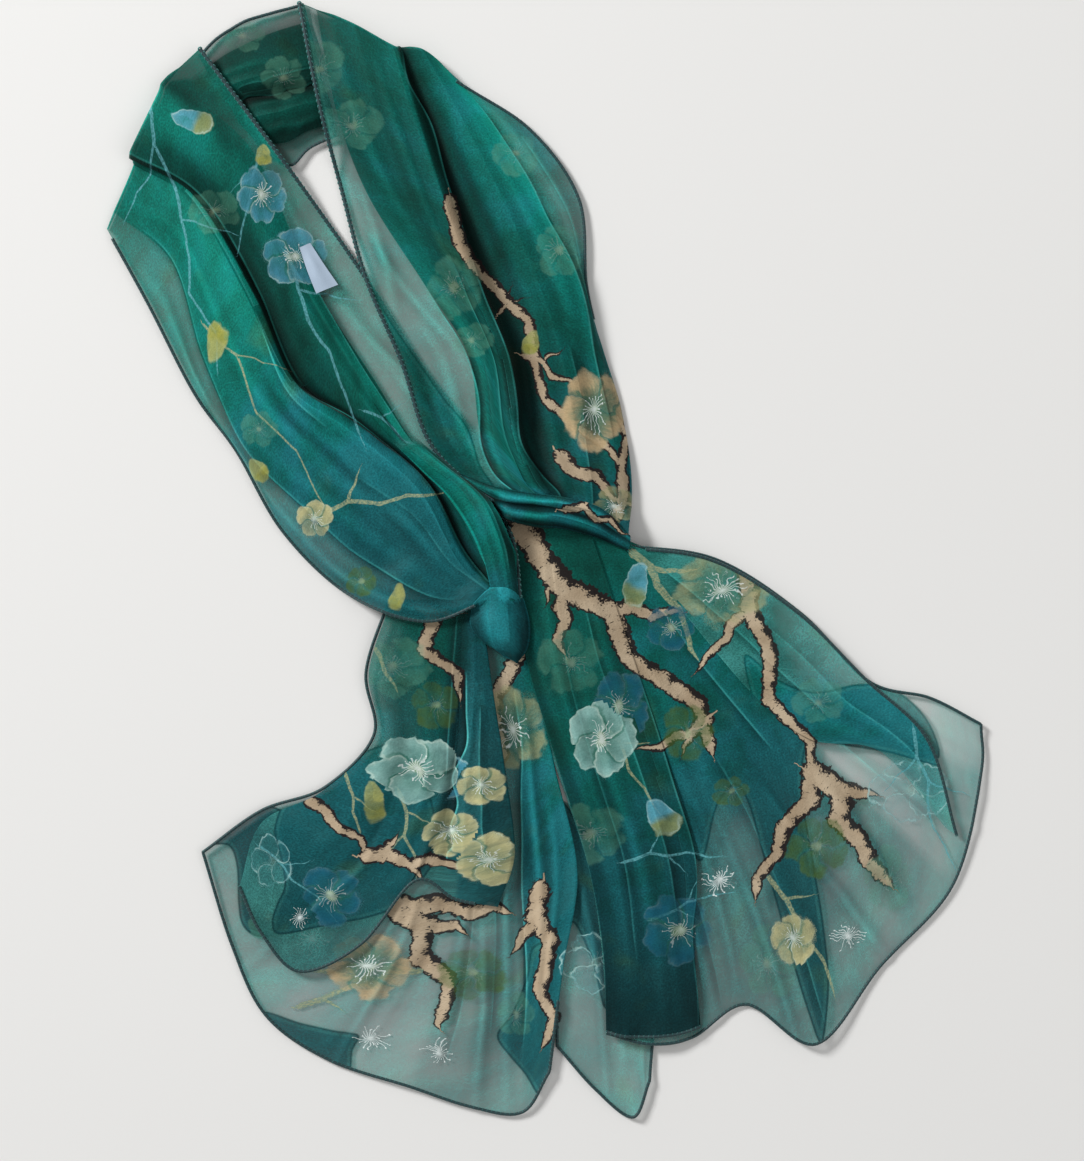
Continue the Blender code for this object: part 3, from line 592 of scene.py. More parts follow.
def crease_heights(creases, along, across, x, y, random):
    """What the creases add to the height at each point of the net, in mm."""
    travelled = distances(x, y, 1)
    added = np.zeros(x.shape)
    for crease in creases:
        t = (along - crease.start) / (crease.end - crease.start)
        fade = np.where((t > 0) & (t < 1), np.sin(np.pi * np.clip(t, 0, 1)) ** 0.7, 0)
        wander = np.interp(along, np.linspace(0, 1, 7), random.normal(0, 1, 7))
        swell = np.interp(along, np.linspace(0, 1, 8), random.uniform(0.65, 1.25, 8))
        place = crease.place_from + (crease.place_to - crease.place_from) * t
        centre = np.array([np.interp(p, across, row) for p, row in zip(place, travelled)])
        away = (travelled - (centre + wander * CREASE_WANDER)[:, None]) / crease.width
        added += crease.height * (fade * swell)[:, None] * np.exp(-away**2)
    return added


# %% Folded edges and waves
LIP_FAR = 40.0  # mm, for a place with no folded edge near it
LIP_WANDER = 1.6  # how far a folded edge strays to either side of its path, in mm
LIP_ENDS = 0.14  # share of a folded edge over which each of its ends dies away
FADED = 14  # mm by which a place counts as farther off where the folded edge has died away
WAVE = 2.6  # most that a wave lifts a hem, in mm
WAVE_REACH = 9.0  # mm from the hem over which the wave dies away


def lip_places(lips, along, across, x, y, random):
    """(gap, strength): how far, in mm, each point lies on top of its nearest folded edge (below zero beside it)."""
    travelled = distances(x, y, 1)
    gap = np.full(x.shape, LIP_FAR)
    least = np.full(x.shape, LIP_FAR)
    strength = np.zeros(x.shape)
    stray = min(LIP_WANDER, 0.02 * travelled[:, -1].mean())
    for lip in lips:
        t = (along - lip.start) / (lip.end - lip.start)
        place = lip.place_from + (lip.place_to - lip.place_from) * np.clip(t, 0, 1)
        edge = np.array([np.interp(p, across, row) for p, row in zip(place, travelled)])
        edge += curve_through(random.normal(0, 1, 13), along) * stray * lip.strength
        away = (travelled - edge[:, None]) * lip.over
        fade = smooth(np.minimum(t, 1 - t) / LIP_ENDS)[:, None]
        apart = np.abs(away) + FADED * (1 - fade)
        nearer = apart < least
        least[nearer] = apart[nearer]
        gap[nearer] = away[nearer]
        strength[nearer] = np.broadcast_to(lip.strength * fade, x.shape)[nearer]
    return gap, strength


def edge_waves(stretch, x, y, random):
    """A laid edge never lies quite flat: what its slow waves add to the height near each hem, in mm."""
    added = np.zeros(x.shape)
    for path in stretch.hems:
        for side, _, _ in path:
            axis = 1 if side in ("first", "last") else 0
            from_start = distances(x, y, axis)
            far_end = np.take(from_start, [-1], axis)
            away = from_start if side in ("first", "start") else far_end - from_start
            count = x.shape[1 - axis]
            swell = np.interp(np.linspace(0, 1, count), np.linspace(0, 1, 9), random.uniform(0, WAVE, 9))
            swell = np.expand_dims(swell, axis)
            added = np.maximum(added, swell * np.exp(-away / WAVE_REACH))
    return added


# %% The rolled sides
ROLL = np.radians([62, 34, 4, -28, -60, -88])  # where the points of a rolled side stand on its half circle
ROLL_REACH = 2.2  # most that a rolled side stands out past its edge, in mm


def roll_under(points, under, side):
    """Adds the points of a rolled lip beyond one side of the net of points (rows x columns x 3)."""
    if side in ("start", "end"):
        return roll_under(points.swapaxes(0, 1), under.T, {"start": "first", "end": "last"}[side]).swapaxes(0, 1)
    if side == "first":
        return roll_under(points[:, ::-1], under[:, ::-1], "last")[:, ::-1]
    edge = points[:, -1]
    outward = edge[:, :2] - points[:, -4, :2]
    outward /= np.maximum(np.hypot(*outward.T)[:, None], 1e-6)
    tall = np.maximum(edge[:, 2] - under[:, -1] - 0.2, 0.1)
    reach = np.minimum(tall * 0.3, ROLL_REACH)
    lip = []
    for angle in ROLL:
        way = reach * np.cos(angle)
        height = edge[:, 2] - tall * 0.5 * (1 - np.sin(angle))
        lip.append(np.column_stack([edge[:, :2] + outward * way[:, None], height]))
    return np.concatenate([points, np.stack(lip, 1)], 1)


# %% [markdown]
# ## The print: branches that grow and blossoms that sit on them
#
# A scarf like this is printed with flowering twigs. Here they are grown by a rule, not copied from a drawing. A
# branch walks forward in short steps, turns a little left and right by turns like a plum twig, gets thinner, and
# sends off forks at its bends. The seed is fixed, so the same twigs grow each time.
#
# **Limb**: where it starts, the way it heads in degrees, its length and width, how many forks it sends off, and
# whether it has brown bark (1), or is a cream line (0.5) or a blue one (0). **Bloom**: its middle, its radius, its
# turn and its kind.

# %% Growing the twigs
Limb = namedtuple("Limb", "x y heading length width forks bark")
Bloom = namedtuple("Bloom", "x y size turn kind")
STEP = 3.0  # mm walked at a time


def grow(limb, random):
    """[(points, half widths, bark)] for a limb and all that forks from it."""
    steps = max(5, int(limb.length / STEP))
    heading = limb.heading
    point = np.array([limb.x, limb.y], float)
    side = random.choice([-1, 1])
    until_bend = 0
    points = [point]
    bends = []
    for step in range(steps):
        if until_bend <= 0:
            side = -side
            heading = limb.heading + side * random.uniform(10, 30) * (1 if limb.bark == 1 else 0.5)
            until_bend = random.uniform(0.14, 0.3) * steps
            bends.append((step, side))
        until_bend -= 1
        heading += random.normal(0, 3.5)
        point = point + STEP * np.array([np.cos(np.radians(heading)), np.sin(np.radians(heading))])
        points.append(point)
    points = np.array(points)
    share = np.linspace(0, 1, len(points))
    half = 0.5 * limb.width * (1 - 0.5 * share) * random.uniform(0.86, 1.14, len(points))
    half[-3:] *= (0.85, 0.65, 0.35)
    grown = [(points, np.maximum(half, 0.3), limb.bark)]
    for step, side in bends[1:limb.forks + 1]:
        start = points[step]
        share_left = 1 - step / steps
        fork = Limb(start[0], start[1], limb.heading - side * random.uniform(38, 62),
                    limb.length * random.uniform(0.2, 0.42) * (0.5 + 0.5 * share_left),
                    limb.width * (1 - 0.5 * step / steps) * 0.74, limb.forks // 4, limb.bark)
        grown += grow(fork, random)
    return grown


# %% The dyes of the blossoms
# solid: how much dye it holds; rays: how clear its stamens are; bud: 1 where it is still shut;
# rim: how light its edge is; inner: how dark its middle is
Petal = namedtuple("Petal", "colour solid rays bud rim inner")
DYES = {
    "cream": Petal((0.50, 0.47, 0.24), 0.90, 0.8, 0, 0.50, 0.40),
    "pearl": Petal((0.25, 0.47, 0.43), 0.85, 0.8, 0, 0.95, 0.50),
    "tan": Petal((0.52, 0.38, 0.21), 0.92, 0.9, 0, 0.30, 0.95),
    "sky": Petal((0.06, 0.27, 0.38), 0.80, 0.9, 0, 0.70, 0.50),
    "mint": Petal((0.40, 0.40, 0.20), 0.62, 0.8, 0, 0.30, 1.00),
    "line": Petal((0.10, 0.40, 0.48), 0.12, 0.1, 0, 0.85, 0.0),
    "ghost": Petal((0.10, 0.30, 0.20), 0.34, 0.12, 0, 0.20, 0.40),
    "dusk": Petal((0.008, 0.11, 0.18), 0.75, 0.4, 0, 0.35, 0.40),
    "moss": Petal((0.06, 0.12, 0.02), 0.70, 0.1, 0, 0.10, 0.30),
    "burst": Petal((0.60, 0.75, 0.75), 0.0, 1.0, 0, 0.0, 0.0),
    "bud": Petal((0.38, 0.40, 0.13), 0.90, 0.0, 1, 0.35, 0.70),
    "leaf": Petal((0.10, 0.36, 0.46), 0.85, 0.0, 1, 0.70, 0.90),
}
print(len(DYES), "kinds of blossom and bud")

# %% Where the twigs and blossoms stand
PRINTS = {
    "blank": ((), ()),
    "neck": ((), (Bloom(-197, 340, 14, 40, "ghost"), Bloom(-170, 312, 15, 10, "ghost"))),
    "left_arm": (
        (Limb(-258, 300, -68, 190, 2.4, 2, 0), Limb(-186, 262, -96, 66, 2.0, 1, 0),
         Limb(-170, 200, -62, 140, 2.6, 1, 0), Limb(-222, 152, -56, 150, 1.8, 1, 0.5),
         Limb(-150, 28, 8, 88, 3.6, 1, 0.5), Limb(-118, 96, -26, 66, 2.0, 1, 0)),
        (Bloom(-184, 236, 18, 20, "sky"), Bloom(-163, 196, 21, 55, "sky"), Bloom(-229, 284, 13, 160, "leaf"),
         Bloom(-214, 140, 13, 250, "bud"), Bloom(-187, 58, 9, 130, "bud"), Bloom(-150, 26, 13, 200, "cream"),
         Bloom(-183, 262, 8, 100, "bud"), Bloom(-215, 225, 17, 10, "ghost"), Bloom(-186, 84, 13, 40, "ghost"),
         Bloom(-120, -14, 11, 30, "moss"), Bloom(-96, -24, 9, 70, "bud")),
    ),
    "right_arm": (
        (Limb(-62, 232, -60, 236, 10.5, 0, 1), Limb(46, 30, 88, 66, 10.0, 0, 1), Limb(-14, 132, -34, 50, 6.5, 1, 1),
         Limb(10, 66, -36, 60, 11.0, 0, 1), Limb(-30, 160, 62, 20, 4.5, 1, 1)),
        (Bloom(31, 96, 25, 15, "tan"), Bloom(-10, 140, 9, 80, "bud"), Bloom(-148, 318, 20, 10, "ghost"),
         Bloom(-126, 281, 20, 50, "ghost"), Bloom(-60, 176, 22, 0, "ghost"), Bloom(-48, 142, 13, 30, "ghost"),
         Bloom(8, 200, 18, 60, "ghost"), Bloom(-20, 262, 16, 5, "ghost"), Bloom(44, 34, 15, 5, "mint")),
    ),
    "knot": ((Limb(12, 32, -22, 50, 7.0, 1, 1),), ()),
    "left_under": (
        (Limb(-18, -62, -92, 128, 12.0, 1, 1), Limb(-104, -221, -3, 84, 17.0, 1, 1),
         Limb(-98, -224, -70, 100, 18.0, 1, 1), Limb(-4, -214, -84, 112, 15.0, 1, 1),
         Limb(-116, -276, 170, 40, 5.0, 1, 0.5), Limb(-160, -290, 30, 60, 4.0, 1, 0.5),
         Limb(-104, -270, 12, 30, 6.0, 0, 0.5)),
        (Bloom(-22, -110, 27, 5, "mint"), Bloom(-115, -264, 27, 25, "tan"), Bloom(-152, -246, 22, 0, "burst"),
         Bloom(-113, -312, 24, 30, "burst"), Bloom(-70, -320, 21, 10, "burst"), Bloom(-48, -268, 22, 8, "moss"),
         Bloom(32, -262, 22, 0, "line"), Bloom(-40, -208, 16, 44, "mint"), Bloom(-180, -232, 16, 44, "ghost"),
         Bloom(-20, -296, 15, 44, "ghost")),
    ),
    "left_over": (
        (Limb(-84, -26, -68, 84, 13.0, 1, 1), Limb(-153, -157, -46, 60, 9.0, 0, 1),
         Limb(-116, -192, -10, 66, 12.0, 2, 1), Limb(-130, -140, -84, 50, 2.4, 1, 0.5),
         Limb(-96, -150, -76, 60, 2.8, 2, 0.5), Limb(-186, -186, -50, 70, 1.8, 1, 0),
         Limb(-118, -44, -60, 50, 3.6, 1, 0.5)),
        (Bloom(-84, -136, 27, 10, "pearl"), Bloom(-68, -140, 19, 50, "sky"), Bloom(-42, -146, 16, 5, "cream"),
         Bloom(-62, -176, 19, 75, "cream"), Bloom(-38, -194, 21, 40, "cream"), Bloom(-112, -157, 13, 100, "bud"),
         Bloom(-140, -218, 22, 15, "dusk"), Bloom(-100, -70, 24, 20, "ghost"), Bloom(-72, -94, 18, 60, "moss"),
         Bloom(-178, -196, 16, 70, "line"), Bloom(-160, -232, 14, 0, "burst")),
    ),
    "right_tail": (
        (Limb(-16, 22, -50, 206, 20.0, 2, 1), Limb(130, -10, -72, 146, 14.0, 1, 1), Limb(56, 4, -56, 84, 6.0, 1, 0.5),
         Limb(104, -104, -158, 52, 10.0, 1, 1), Limb(172, -138, -62, 100, 19.0, 1, 1),
         Limb(172, -142, -118, 92, 15.0, 0, 1), Limb(50, -196, 4, 66, 2.4, 2, 0), Limb(238, -110, -72, 96, 2.4, 2, 0),
         Limb(70, -232, 20, 56, 2.2, 2, 0), Limb(144, -206, -58, 90, 3.4, 2, 0.5),
         Limb(40, -110, -60, 66, 2.4, 1, 0.5), Limb(2, -6, -100, 26, 6.0, 1, 1)),
        (Bloom(114, -20, 29, 20, "mint"), Bloom(47, -96, 23, 15, "dusk"), Bloom(16, -66, 24, 60, "ghost"),
         Bloom(36, -116, 24, 40, "pearl"), Bloom(74, -166, 15, 120, "leaf"), Bloom(92, -112, 20, 30, "moss"),
         Bloom(176, -186, 22, 10, "moss"), Bloom(112, -208, 23, 0, "burst"), Bloom(196, -244, 24, 30, "burst"),
         Bloom(236, -150, 24, 0, "line"), Bloom(86, -240, 26, 25, "dusk"), Bloom(58, -16, 14, 70, "leaf"),
         Bloom(120, -150, 13, 40, "moss"), Bloom(176, -92, 18, 10, "ghost"), Bloom(222, -208, 20, 50, "ghost"),
         Bloom(80, -44, 17, 33, "dusk"), Bloom(144, -262, 24, 60, "ghost"), Bloom(28, -178, 24, 12, "ghost"),
         Bloom(160, -246, 17, 60, "cream")),
    ),
}
PRINT_OF = {
    "neck_back": "neck", "left_arm": "left_arm", "right_arm": "right_arm", "knot_band": "knot", "knot_turn": "knot",
    "knot_wrap": "knot", "left_tail": "left_under", "left_lobe": "left_under", "left_flap": "left_over",
    "right_tail": "right_tail", "right_column": "right_tail", "right_leaf": "right_tail",
}
random = np.random.default_rng(20)
TWIGS = {name: [twig for limb in limbs for twig in grow(limb, random)] for name, (limbs, _) in PRINTS.items()}
for name, twigs in TWIGS.items():
    print(f"{name}: {len(twigs)} twigs, {len(PRINTS[name][1])} blossoms")

# %% [markdown]
# ## Printing on the cloth
#
# A print has crisp edges that are much finer than the net, so it isn't painted on the points. Each face of the
# net is told which twig and which blossom lie nearest to it, and its corners keep their own place on that twig
# (how far along, how far to the side) and on that blossom (measured from its middle). The shader draws the mark
# from those places, and it stays sharp however coarse the net is. Where folded-in cloth doubles a sheet inside an
# outline, the corners keep the distance to that outline in the same way.

# %% Outlines of the folded-in cloth
Outline = namedtuple("Outline", "name xs ys")
FOLDED_IN = {  # at most three for a stretch
    "right_arm": (
        Outline("hems_cross", xs=(-122, -119, -102, -80, -66, -51, -43, -34, -56, -84, -101, -112),
                ys=(186, 185, 156, 124, 104, 85, 61, 44, 40, 74, 127, 156)),
    ),
    "left_tail": (
        Outline("hem_strip", xs=(-183, -160, -138, -122, -126, -129, -147, -167, -181),
                ys=(-294, -301, -306, -309, -319, -334, -330, -321, -307)),
        Outline("side_lobe", xs=(-219, -206, -201, -200, -197, -187, -172, -150, -150, -180),
                ys=(-183, -186, -200, -224, -238, -245, -242, -230, -190, -160)),
        Outline("corner", xs=(-32, -22, -13, -9, 4, 14, 12, 8, -2, -14, -24),
                ys=(-309, -294, -272, -252, -250, -270, -300, -330, -350, -334, -322)),
    ),
    "left_flap": (
        Outline("inner_layer", xs=(-160, -95, -70, -84, -98, -115, -141, -172, -178, -175, -170, -172, -176),
                ys=(-150, -120, -180, -212, -225, -232, -237, -243, -236, -224, -212, -195, -172)),
    ),
    "left_lobe": (
        Outline("hidden_layer", xs=(-5, 20, 34, 40, 38, 30, 18, 8),
                ys=(-150, -170, -214, -262, -292, -262, -236, -240)),
    ),
    "right_leaf": (
        Outline("double_band", xs=(128, 150, 174, 203, 225, 250, 262, 256, 221, 195, 170, 140),
                ys=(-62, -78, -86, -81, -84, -104, -124, -134, -125, -121, -119, -104)),
    ),
    "right_tail": (
        Outline("upper_layer",
                xs=(-20, 50, 90, 128, 158, 174, 203, 225, 247, 254, 221, 195, 170, 166, 172, 179, 183, 182, 178, 170,
                    160, 150, 140, 131, 122, 110, 99, 80, 40, 5),
                ys=(30, 16, -6, -48, -80, -86, -81, -84, -104, -130, -125, -121, -119, -150, -190, -232, -268, -294,
                    -314, -294, -262, -226, -190, -158, -146, -160, -196, -150, -130, -60)),
    ),
}


# %% Which twig a face carries
FAR = 60.0  # mm, for a corner with no twig near it
TWIG_REACH = 4.0  # a face this many mm from a twig may still carry its ragged edge
TWIG_MARGIN = 14  # mm round a twig in which faces are looked at


def nearest_on(points, twig):
    """(along, offset, half width) of each point on a twig, the offset counted to its left."""
    line, half, _ = twig
    start, way = line[:-1], np.diff(line, axis=0)
    length = np.hypot(*way.T)
    from_start = points[:, None] - start[None]
    share = np.clip((from_start * way).sum(2) / length**2, 0, 1)
    gap = from_start - share[..., None] * way
    best = np.hypot(gap[..., 0], gap[..., 1]).argmin(1)
    rows = np.arange(len(points))
    cross = way[best, 0] * from_start[rows, best, 1] - way[best, 1] * from_start[rows, best, 0]
    offset = np.hypot(*gap[rows, best].T) * np.sign(cross)
    at = share[rows, best]
    travelled = np.concatenate([[0], np.cumsum(length)])
    widths = half[best] * (1 - at) + half[best + 1] * at
    return travelled[best] + at * length[best], offset, widths


def twig_places(corners, twigs):
    """For the corners of each face (faces x 4 x 2): along, offset, half width and bark of its nearest twig."""
    middles = corners.mean(1)
    found = np.tile([0.0, FAR, 1.0, 0.0], (len(corners), 4, 1))
    least = np.full(len(corners), TWIG_REACH)
    for twig in twigs:
        low, high = twig[0].min(0) - TWIG_MARGIN, twig[0].max(0) + TWIG_MARGIN
        near = np.flatnonzero(((middles > low) & (middles < high)).all(1))
        if not len(near):
            continue
        _, offset, half = nearest_on(middles[near], twig)
        beyond = np.abs(offset) - half
        take = beyond < least[near]
        near, beyond = near[take], beyond[take]
        if not len(near):
            continue
        least[near] = beyond
        along, offset, half = nearest_on(corners[near].reshape(-1, 2), twig)
        bark = np.full(len(along), float(twig[2]))
        found[near] = np.stack([along, offset, half, bark], 1).reshape(-1, 4, 4)
    return found


# %% Which blossom a face carries
NO_BLOOM = 9.0  # a place on a blossom that is well outside it, in radii
BLOOM_REACH = 1.3  # a face this many radii from a blossom's middle may still carry its edge
IN_FRONT = 0.85  # blossoms as solid as this stand in front of the others


def bloom_places(corners, blooms):
    """For the corners of each face: their place on its nearest blossom, and that blossom's dye, kind and number."""
    middles = corners.mean(1)
    place = np.full((len(corners), 4, 2), NO_BLOOM)
    dye = np.zeros((len(corners), 4, 4))
    kind = np.zeros((len(corners), 4, 2))
    look = np.zeros((len(corners), 4, 2))
    own = np.zeros((len(corners), 4))
    least = np.full(len(corners), BLOOM_REACH)
    for bloom in blooms:
        petal = DYES[bloom.kind]
        away = np.hypot(*(middles - (bloom.x, bloom.y)).T) / bloom.size
        away -= 0.6 * (petal.solid >= IN_FRONT) * (away < 1)
        near = np.flatnonzero(away < least)
        least[near] = away[near]
        turn = np.radians(bloom.turn)
        slim = 1 + 0.14 * np.sin(bloom.x * 3.1 + bloom.y * 1.7)
        across = (corners[near] - (bloom.x, bloom.y)) / bloom.size * (slim, 1 / slim)
        place[near, :, 0] = across[..., 0] * np.cos(turn) + across[..., 1] * np.sin(turn)
        place[near, :, 1] = across[..., 1] * np.cos(turn) - across[..., 0] * np.sin(turn)
        dye[near] = (*petal.colour, petal.solid)
        kind[near] = (petal.bud, petal.rays)
        look[near] = (petal.rim, petal.inner)
        own[near] = bloom.x * 0.37 + bloom.y * 0.73
    return place, dye, kind, look, own


# %% How far inside an outline a point lies
OUTLINE_POINTS = 160


def inside_by(points, outline):
    """How far, in mm, each point lies inside a smooth closed outline; below zero outside it."""
    count = len(outline.xs)
    closed = [[*line[-2:], *line, *line[:2]] for line in (outline.xs, outline.ys)]
    share = np.linspace(2 / (count + 3), (count + 2) / (count + 3), OUTLINE_POINTS)
    line = np.stack([curve_through(values, share) for values in closed], 1)
    start, way = line[:-1], np.diff(line, axis=0)
    from_start = points[:, None] - start[None]
    at = np.clip((from_start * way).sum(2) / np.maximum((way**2).sum(1), 1e-9), 0, 1)
    gap = from_start - at[..., None] * way
    away = np.hypot(gap[..., 0], gap[..., 1]).min(1)
    rises = (start[:, 1] <= points[:, None, 1]) != (line[1:, 1] <= points[:, None, 1])
    cross_x = start[:, 0] + (points[:, None, 1] - start[:, 1]) * way[:, 0] / np.where(way[:, 1] == 0, 1e-9, way[:, 1])
    inside = (rises & (cross_x > points[:, None, 0])).sum(1) % 2 == 1
    return np.where(inside, away, -away)


# %% [markdown]
# ## Making the sheets
#
# Now each stretch becomes a mesh: its net laid on its solid, its lips rolled, its layers and dye kept on its
# points, and its print on its corners. A modifier could lay a plane over the solids in one go, but it would
# stretch the print and could not keep one sheet above the other, so each height is worked out here.

# %% The height of a stretch
OVERHANG = 1.5  # mm above the sheets below, where a stretch reaches past its own solid
LOWEST = 0.7  # mm, the least height of a sheet
CLEAR = 0.45  # least way between one sheet and the sheet below it, in mm
LIP_STEP = 1.7  # how high a folded edge stands above the cloth beside it, in mm
BRIDGED = {"knot_wrap": 12}  # rounds of evening out where this cloth runs down from the cloth below it


def settle(stretch, laid, along, across, x, y, random):
    """(top, under, gap, strength): the heights of the sheet and of its solid's underside, and its folded edges."""
    solid = tree_of([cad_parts[stretch.name]])
    top = heights_on(solid, x, y)
    under = fill_gaps(heights_on(solid, x, y, from_below=True))
    below = heights_on(tree_of(laid), x, y) if laid else np.full(x.shape, np.nan)
    beyond = np.isnan(top).all(1)
    top[beyond] = below[beyond] + OVERHANG
    top = soften(fill_gaps(top), 4, 2) + crease_heights(stretch.creases, along, across, x, y, random)
    gap, strength = lip_places(LIPS.get(stretch.name, ()), along, across, x, y, random)
    top += LIP_STEP * strength * smooth((gap + 0.8) / 1.6) * np.exp(-np.maximum(gap, 0) / 10)
    top += edge_waves(stretch, x, y, random)
    top = np.fmax(top, below + CLEAR)
    rounds = BRIDGED.get(stretch.name, 0)
    return np.maximum(np.maximum(top, soften(top, rounds, rounds)), LOWEST), under, gap, strength


# %% Painted light and shade on the folds and lips
# painted light and shade on a rolled lip: a painted highlight on its top and painted shade below it
PAINTED_LIP_LIGHT = np.array([1.7, 1.5, 0.9, 0.6, 0.5, 0.4])  # a fold's lip catches the light on top and is dark below


def shaded(cover, tone, top):
    """Cover and painted light once the heights are known: painted light on the crests and painted shade in the
    hollows, and steep cloth is seen through more of it.
    """
    relief = top - soften(top, 30, 30)
    sharp = top - soften(top, 1, 7)
    steep = soften(np.hypot(*np.gradient(top)) / GRAIN, 4, 3)
    # painted light on crests and painted shade in hollows, from each point's height above its softened surroundings
    return cover * (1 + 0.8 * np.minimum(steep, 0.8)), tone * np.clip(1 + 0.10 * relief + 0.35 * sharp, 0.5, 1.6)


def roll_sides(points, under, facts, sides):
    """Rolls these sides under. What is known of an edge goes round with it, and its lip gets painted light on top and
    painted shade below.
    """
    for side in sides:
        points = roll_under(points, under, side)
        before = (len(ROLL) if side == "start" else 0, len(ROLL) if side == "end" else 0)
        beside = (len(ROLL) if side == "first" else 0, len(ROLL) if side == "last" else 0)
        under = np.pad(under, (before, beside), "edge")
        facts = np.pad(facts, (before, beside, (0, 0)), "edge")
        lit = facts[..., 1] if side in ("first", "last") else facts[..., 1].T
        lit = lit[:, ::-1] if side in ("first", "start") else lit
        # paints light on the top of the lip and shade under it
        lit[:, -len(ROLL):] *= PAINTED_LIP_LIGHT
    return points, facts


# %% The mesh of a stretch and its print
def set_values(mesh, name, kind, domain, values):
    """Stores an array on the mesh for the shader to read."""
    attribute = mesh.attributes.new(name, kind, domain)
    key = {"FLOAT": "value", "FLOAT_COLOR": "color"}[kind]
    attribute.data.foreach_set(key, np.ascontiguousarray(values, np.float32).ravel())


def set_corners(mesh, name, values):
    """Stores two numbers for each face corner, as a UV map."""
    layer = mesh.uv_layers.new(name=name)
    layer.data.foreach_set("uv", np.ascontiguousarray(values, np.float32).ravel())


def cloth_mesh(name, points, facts):
    """(mesh, places, quads): the net as a mesh that faces up, with what is known of it kept on its points."""
    rows, columns = points.shape[:2]
    index = np.arange(rows * columns).reshape(rows, columns)
    quads = np.stack([index[:-1, :-1], index[1:, :-1], index[1:, 1:], index[:-1, 1:]], 2).reshape(-1, 4)
    flat = points.reshape(-1, 3)
    sample = flat[quads[len(quads) // 2]]
    if np.cross(sample[1] - sample[0], sample[2] - sample[0])[2] < 0:
        quads = quads[:, ::-1]
    mesh = bpy.data.meshes.new(name)
    mesh.from_pydata((flat * MM).tolist(), [], quads.tolist())
    mesh.shade_smooth()
    facts = facts.reshape(len(flat), -1)
    set_corners(mesh, "Cloth", facts[:, 5:7][quads])
    for column, fact in enumerate(("cover", "tone", "hue", "lip", "lip_strength")):
        set_values(mesh, fact, "FLOAT", "POINT", facts[:, column])
    return mesh, flat[:, :2], quads


def print_on(mesh, stretch, places, quads):
    """Keeps a stretch's folded-in outlines on the mesh's points, and its twigs and blossoms on its corners."""
    outlines = FOLDED_IN.get(stretch.name, ())
    for number in range(3):
        inside = inside_by(places, outlines[number]) if number < len(outlines) else np.full(len(places), -FAR)
        set_values(mesh, f"folded_{number + 1}", "FLOAT", "POINT", inside)
    corners = places[quads]
    picture = PRINT_OF.get(stretch.name, "blank")
    twigs = twig_places(corners, TWIGS[picture])
    set_corners(mesh, "Twig", twigs[..., :2])
    set_corners(mesh, "TwigKind", twigs[..., 2:])
    place, dye, kind, look, own = bloom_places(corners, PRINTS[picture][1])
    set_corners(mesh, "Bloom", place)
    set_corners(mesh, "BloomKind", kind)
    set_corners(mesh, "BloomLook", look)
    set_values(mesh, "bloom_dye", "FLOAT_COLOR", "CORNER", dye)
    set_values(mesh, "bloom_own", "FLOAT", "CORNER", own)


# %% Lay every stretch
def lay(stretch, laid, random):
    """Makes one sheet on its solid and over the sheets laid before, and returns it with its net of points."""
    along, across, x, y = net_of(stretch.runs)
    cover, tone = spread_over(stretch.runs, along, across, x, y)
    row_hue = HUE_OF_ROWS.get(stretch.name, (0, 0))
    hue = np.clip(eased(stretch.hue, along)[:, None] + eased(row_hue, across / across[-1])[None], 0, 1)
    top, under, gap, strength = settle(stretch, laid, along, across, x, y, random)
    net = np.stack([x, y, top], 2)
    facts = np.stack([*shaded(cover, tone, top), hue, gap, strength, distances(x, y, 1), distances(x, y, 0)], 2)
    points, facts = roll_sides(net, under, facts, stretch.rolled)
    mesh, places, quads = cloth_mesh(stretch.name + "_cloth", points, facts)
    print_on(mesh, stretch, places, quads)
    sheet = bpy.data.objects.new(mesh.name, mesh)
    scene.collection.objects.link(sheet)
    return sheet, net


random = np.random.default_rng(7)
SHEETS = {}
NETS = {}
for stretch in STRETCHES:
    sheet, NETS[stretch.name] = lay(stretch, list(SHEETS.values()), random)
    SHEETS[stretch.name] = sheet
    print(f"{sheet.name}: {len(sheet.data.vertices)} points, {2 * len(sheet.data.polygons)} triangles")

# %% [markdown]
# ## A small bench for shaders
#
# Shader maths reads best as sums. A **Wire** stands for a number that comes out of a node: adding two wires adds
# a Math node. A **Bench** makes one material, and its one method places any other node.

# %% The wire
class Wire:
    """A node's output that can be used in sums."""

    def __init__(self, bench, socket):
        self.bench = bench
        self.socket = socket

    def maths(self, operation, *others):
        return self.bench.node("ShaderNodeMath", {"operation": operation}, dict(enumerate((self, *others))))

    def swapped(self, operation, other):
        return self.bench.node("ShaderNodeMath", {"operation": operation}, {0: other, 1: self})

    def __abs__(self):
        return self.maths("ABSOLUTE")

    def within(self, low, high):
        """0 at low, 1 at high, eased between them. Low may be above high."""
        if low > high:
            return 1 - self.within(high, low)
        sockets = {"Value": self, "From Min": low, "From Max": high}
        return self.bench.node("ShaderNodeMapRange", {"interpolation_type": "SMOOTHSTEP"}, sockets)


# Each sign, and the same sign with the wire on its right, so that 1 - wire works too
SIGNS = {"add": "ADD", "sub": "SUBTRACT", "mul": "MULTIPLY", "truediv": "DIVIDE", "pow": "POWER"}
for sign, operation in SIGNS.items():
    setattr(Wire, f"__{sign}__", lambda wire, other, operation=operation: wire.maths(operation, other))
    setattr(Wire, f"__r{sign}__", lambda wire, other, operation=operation: wire.swapped(operation, other))
print("signs that a wire knows:", ", ".join(SIGNS))


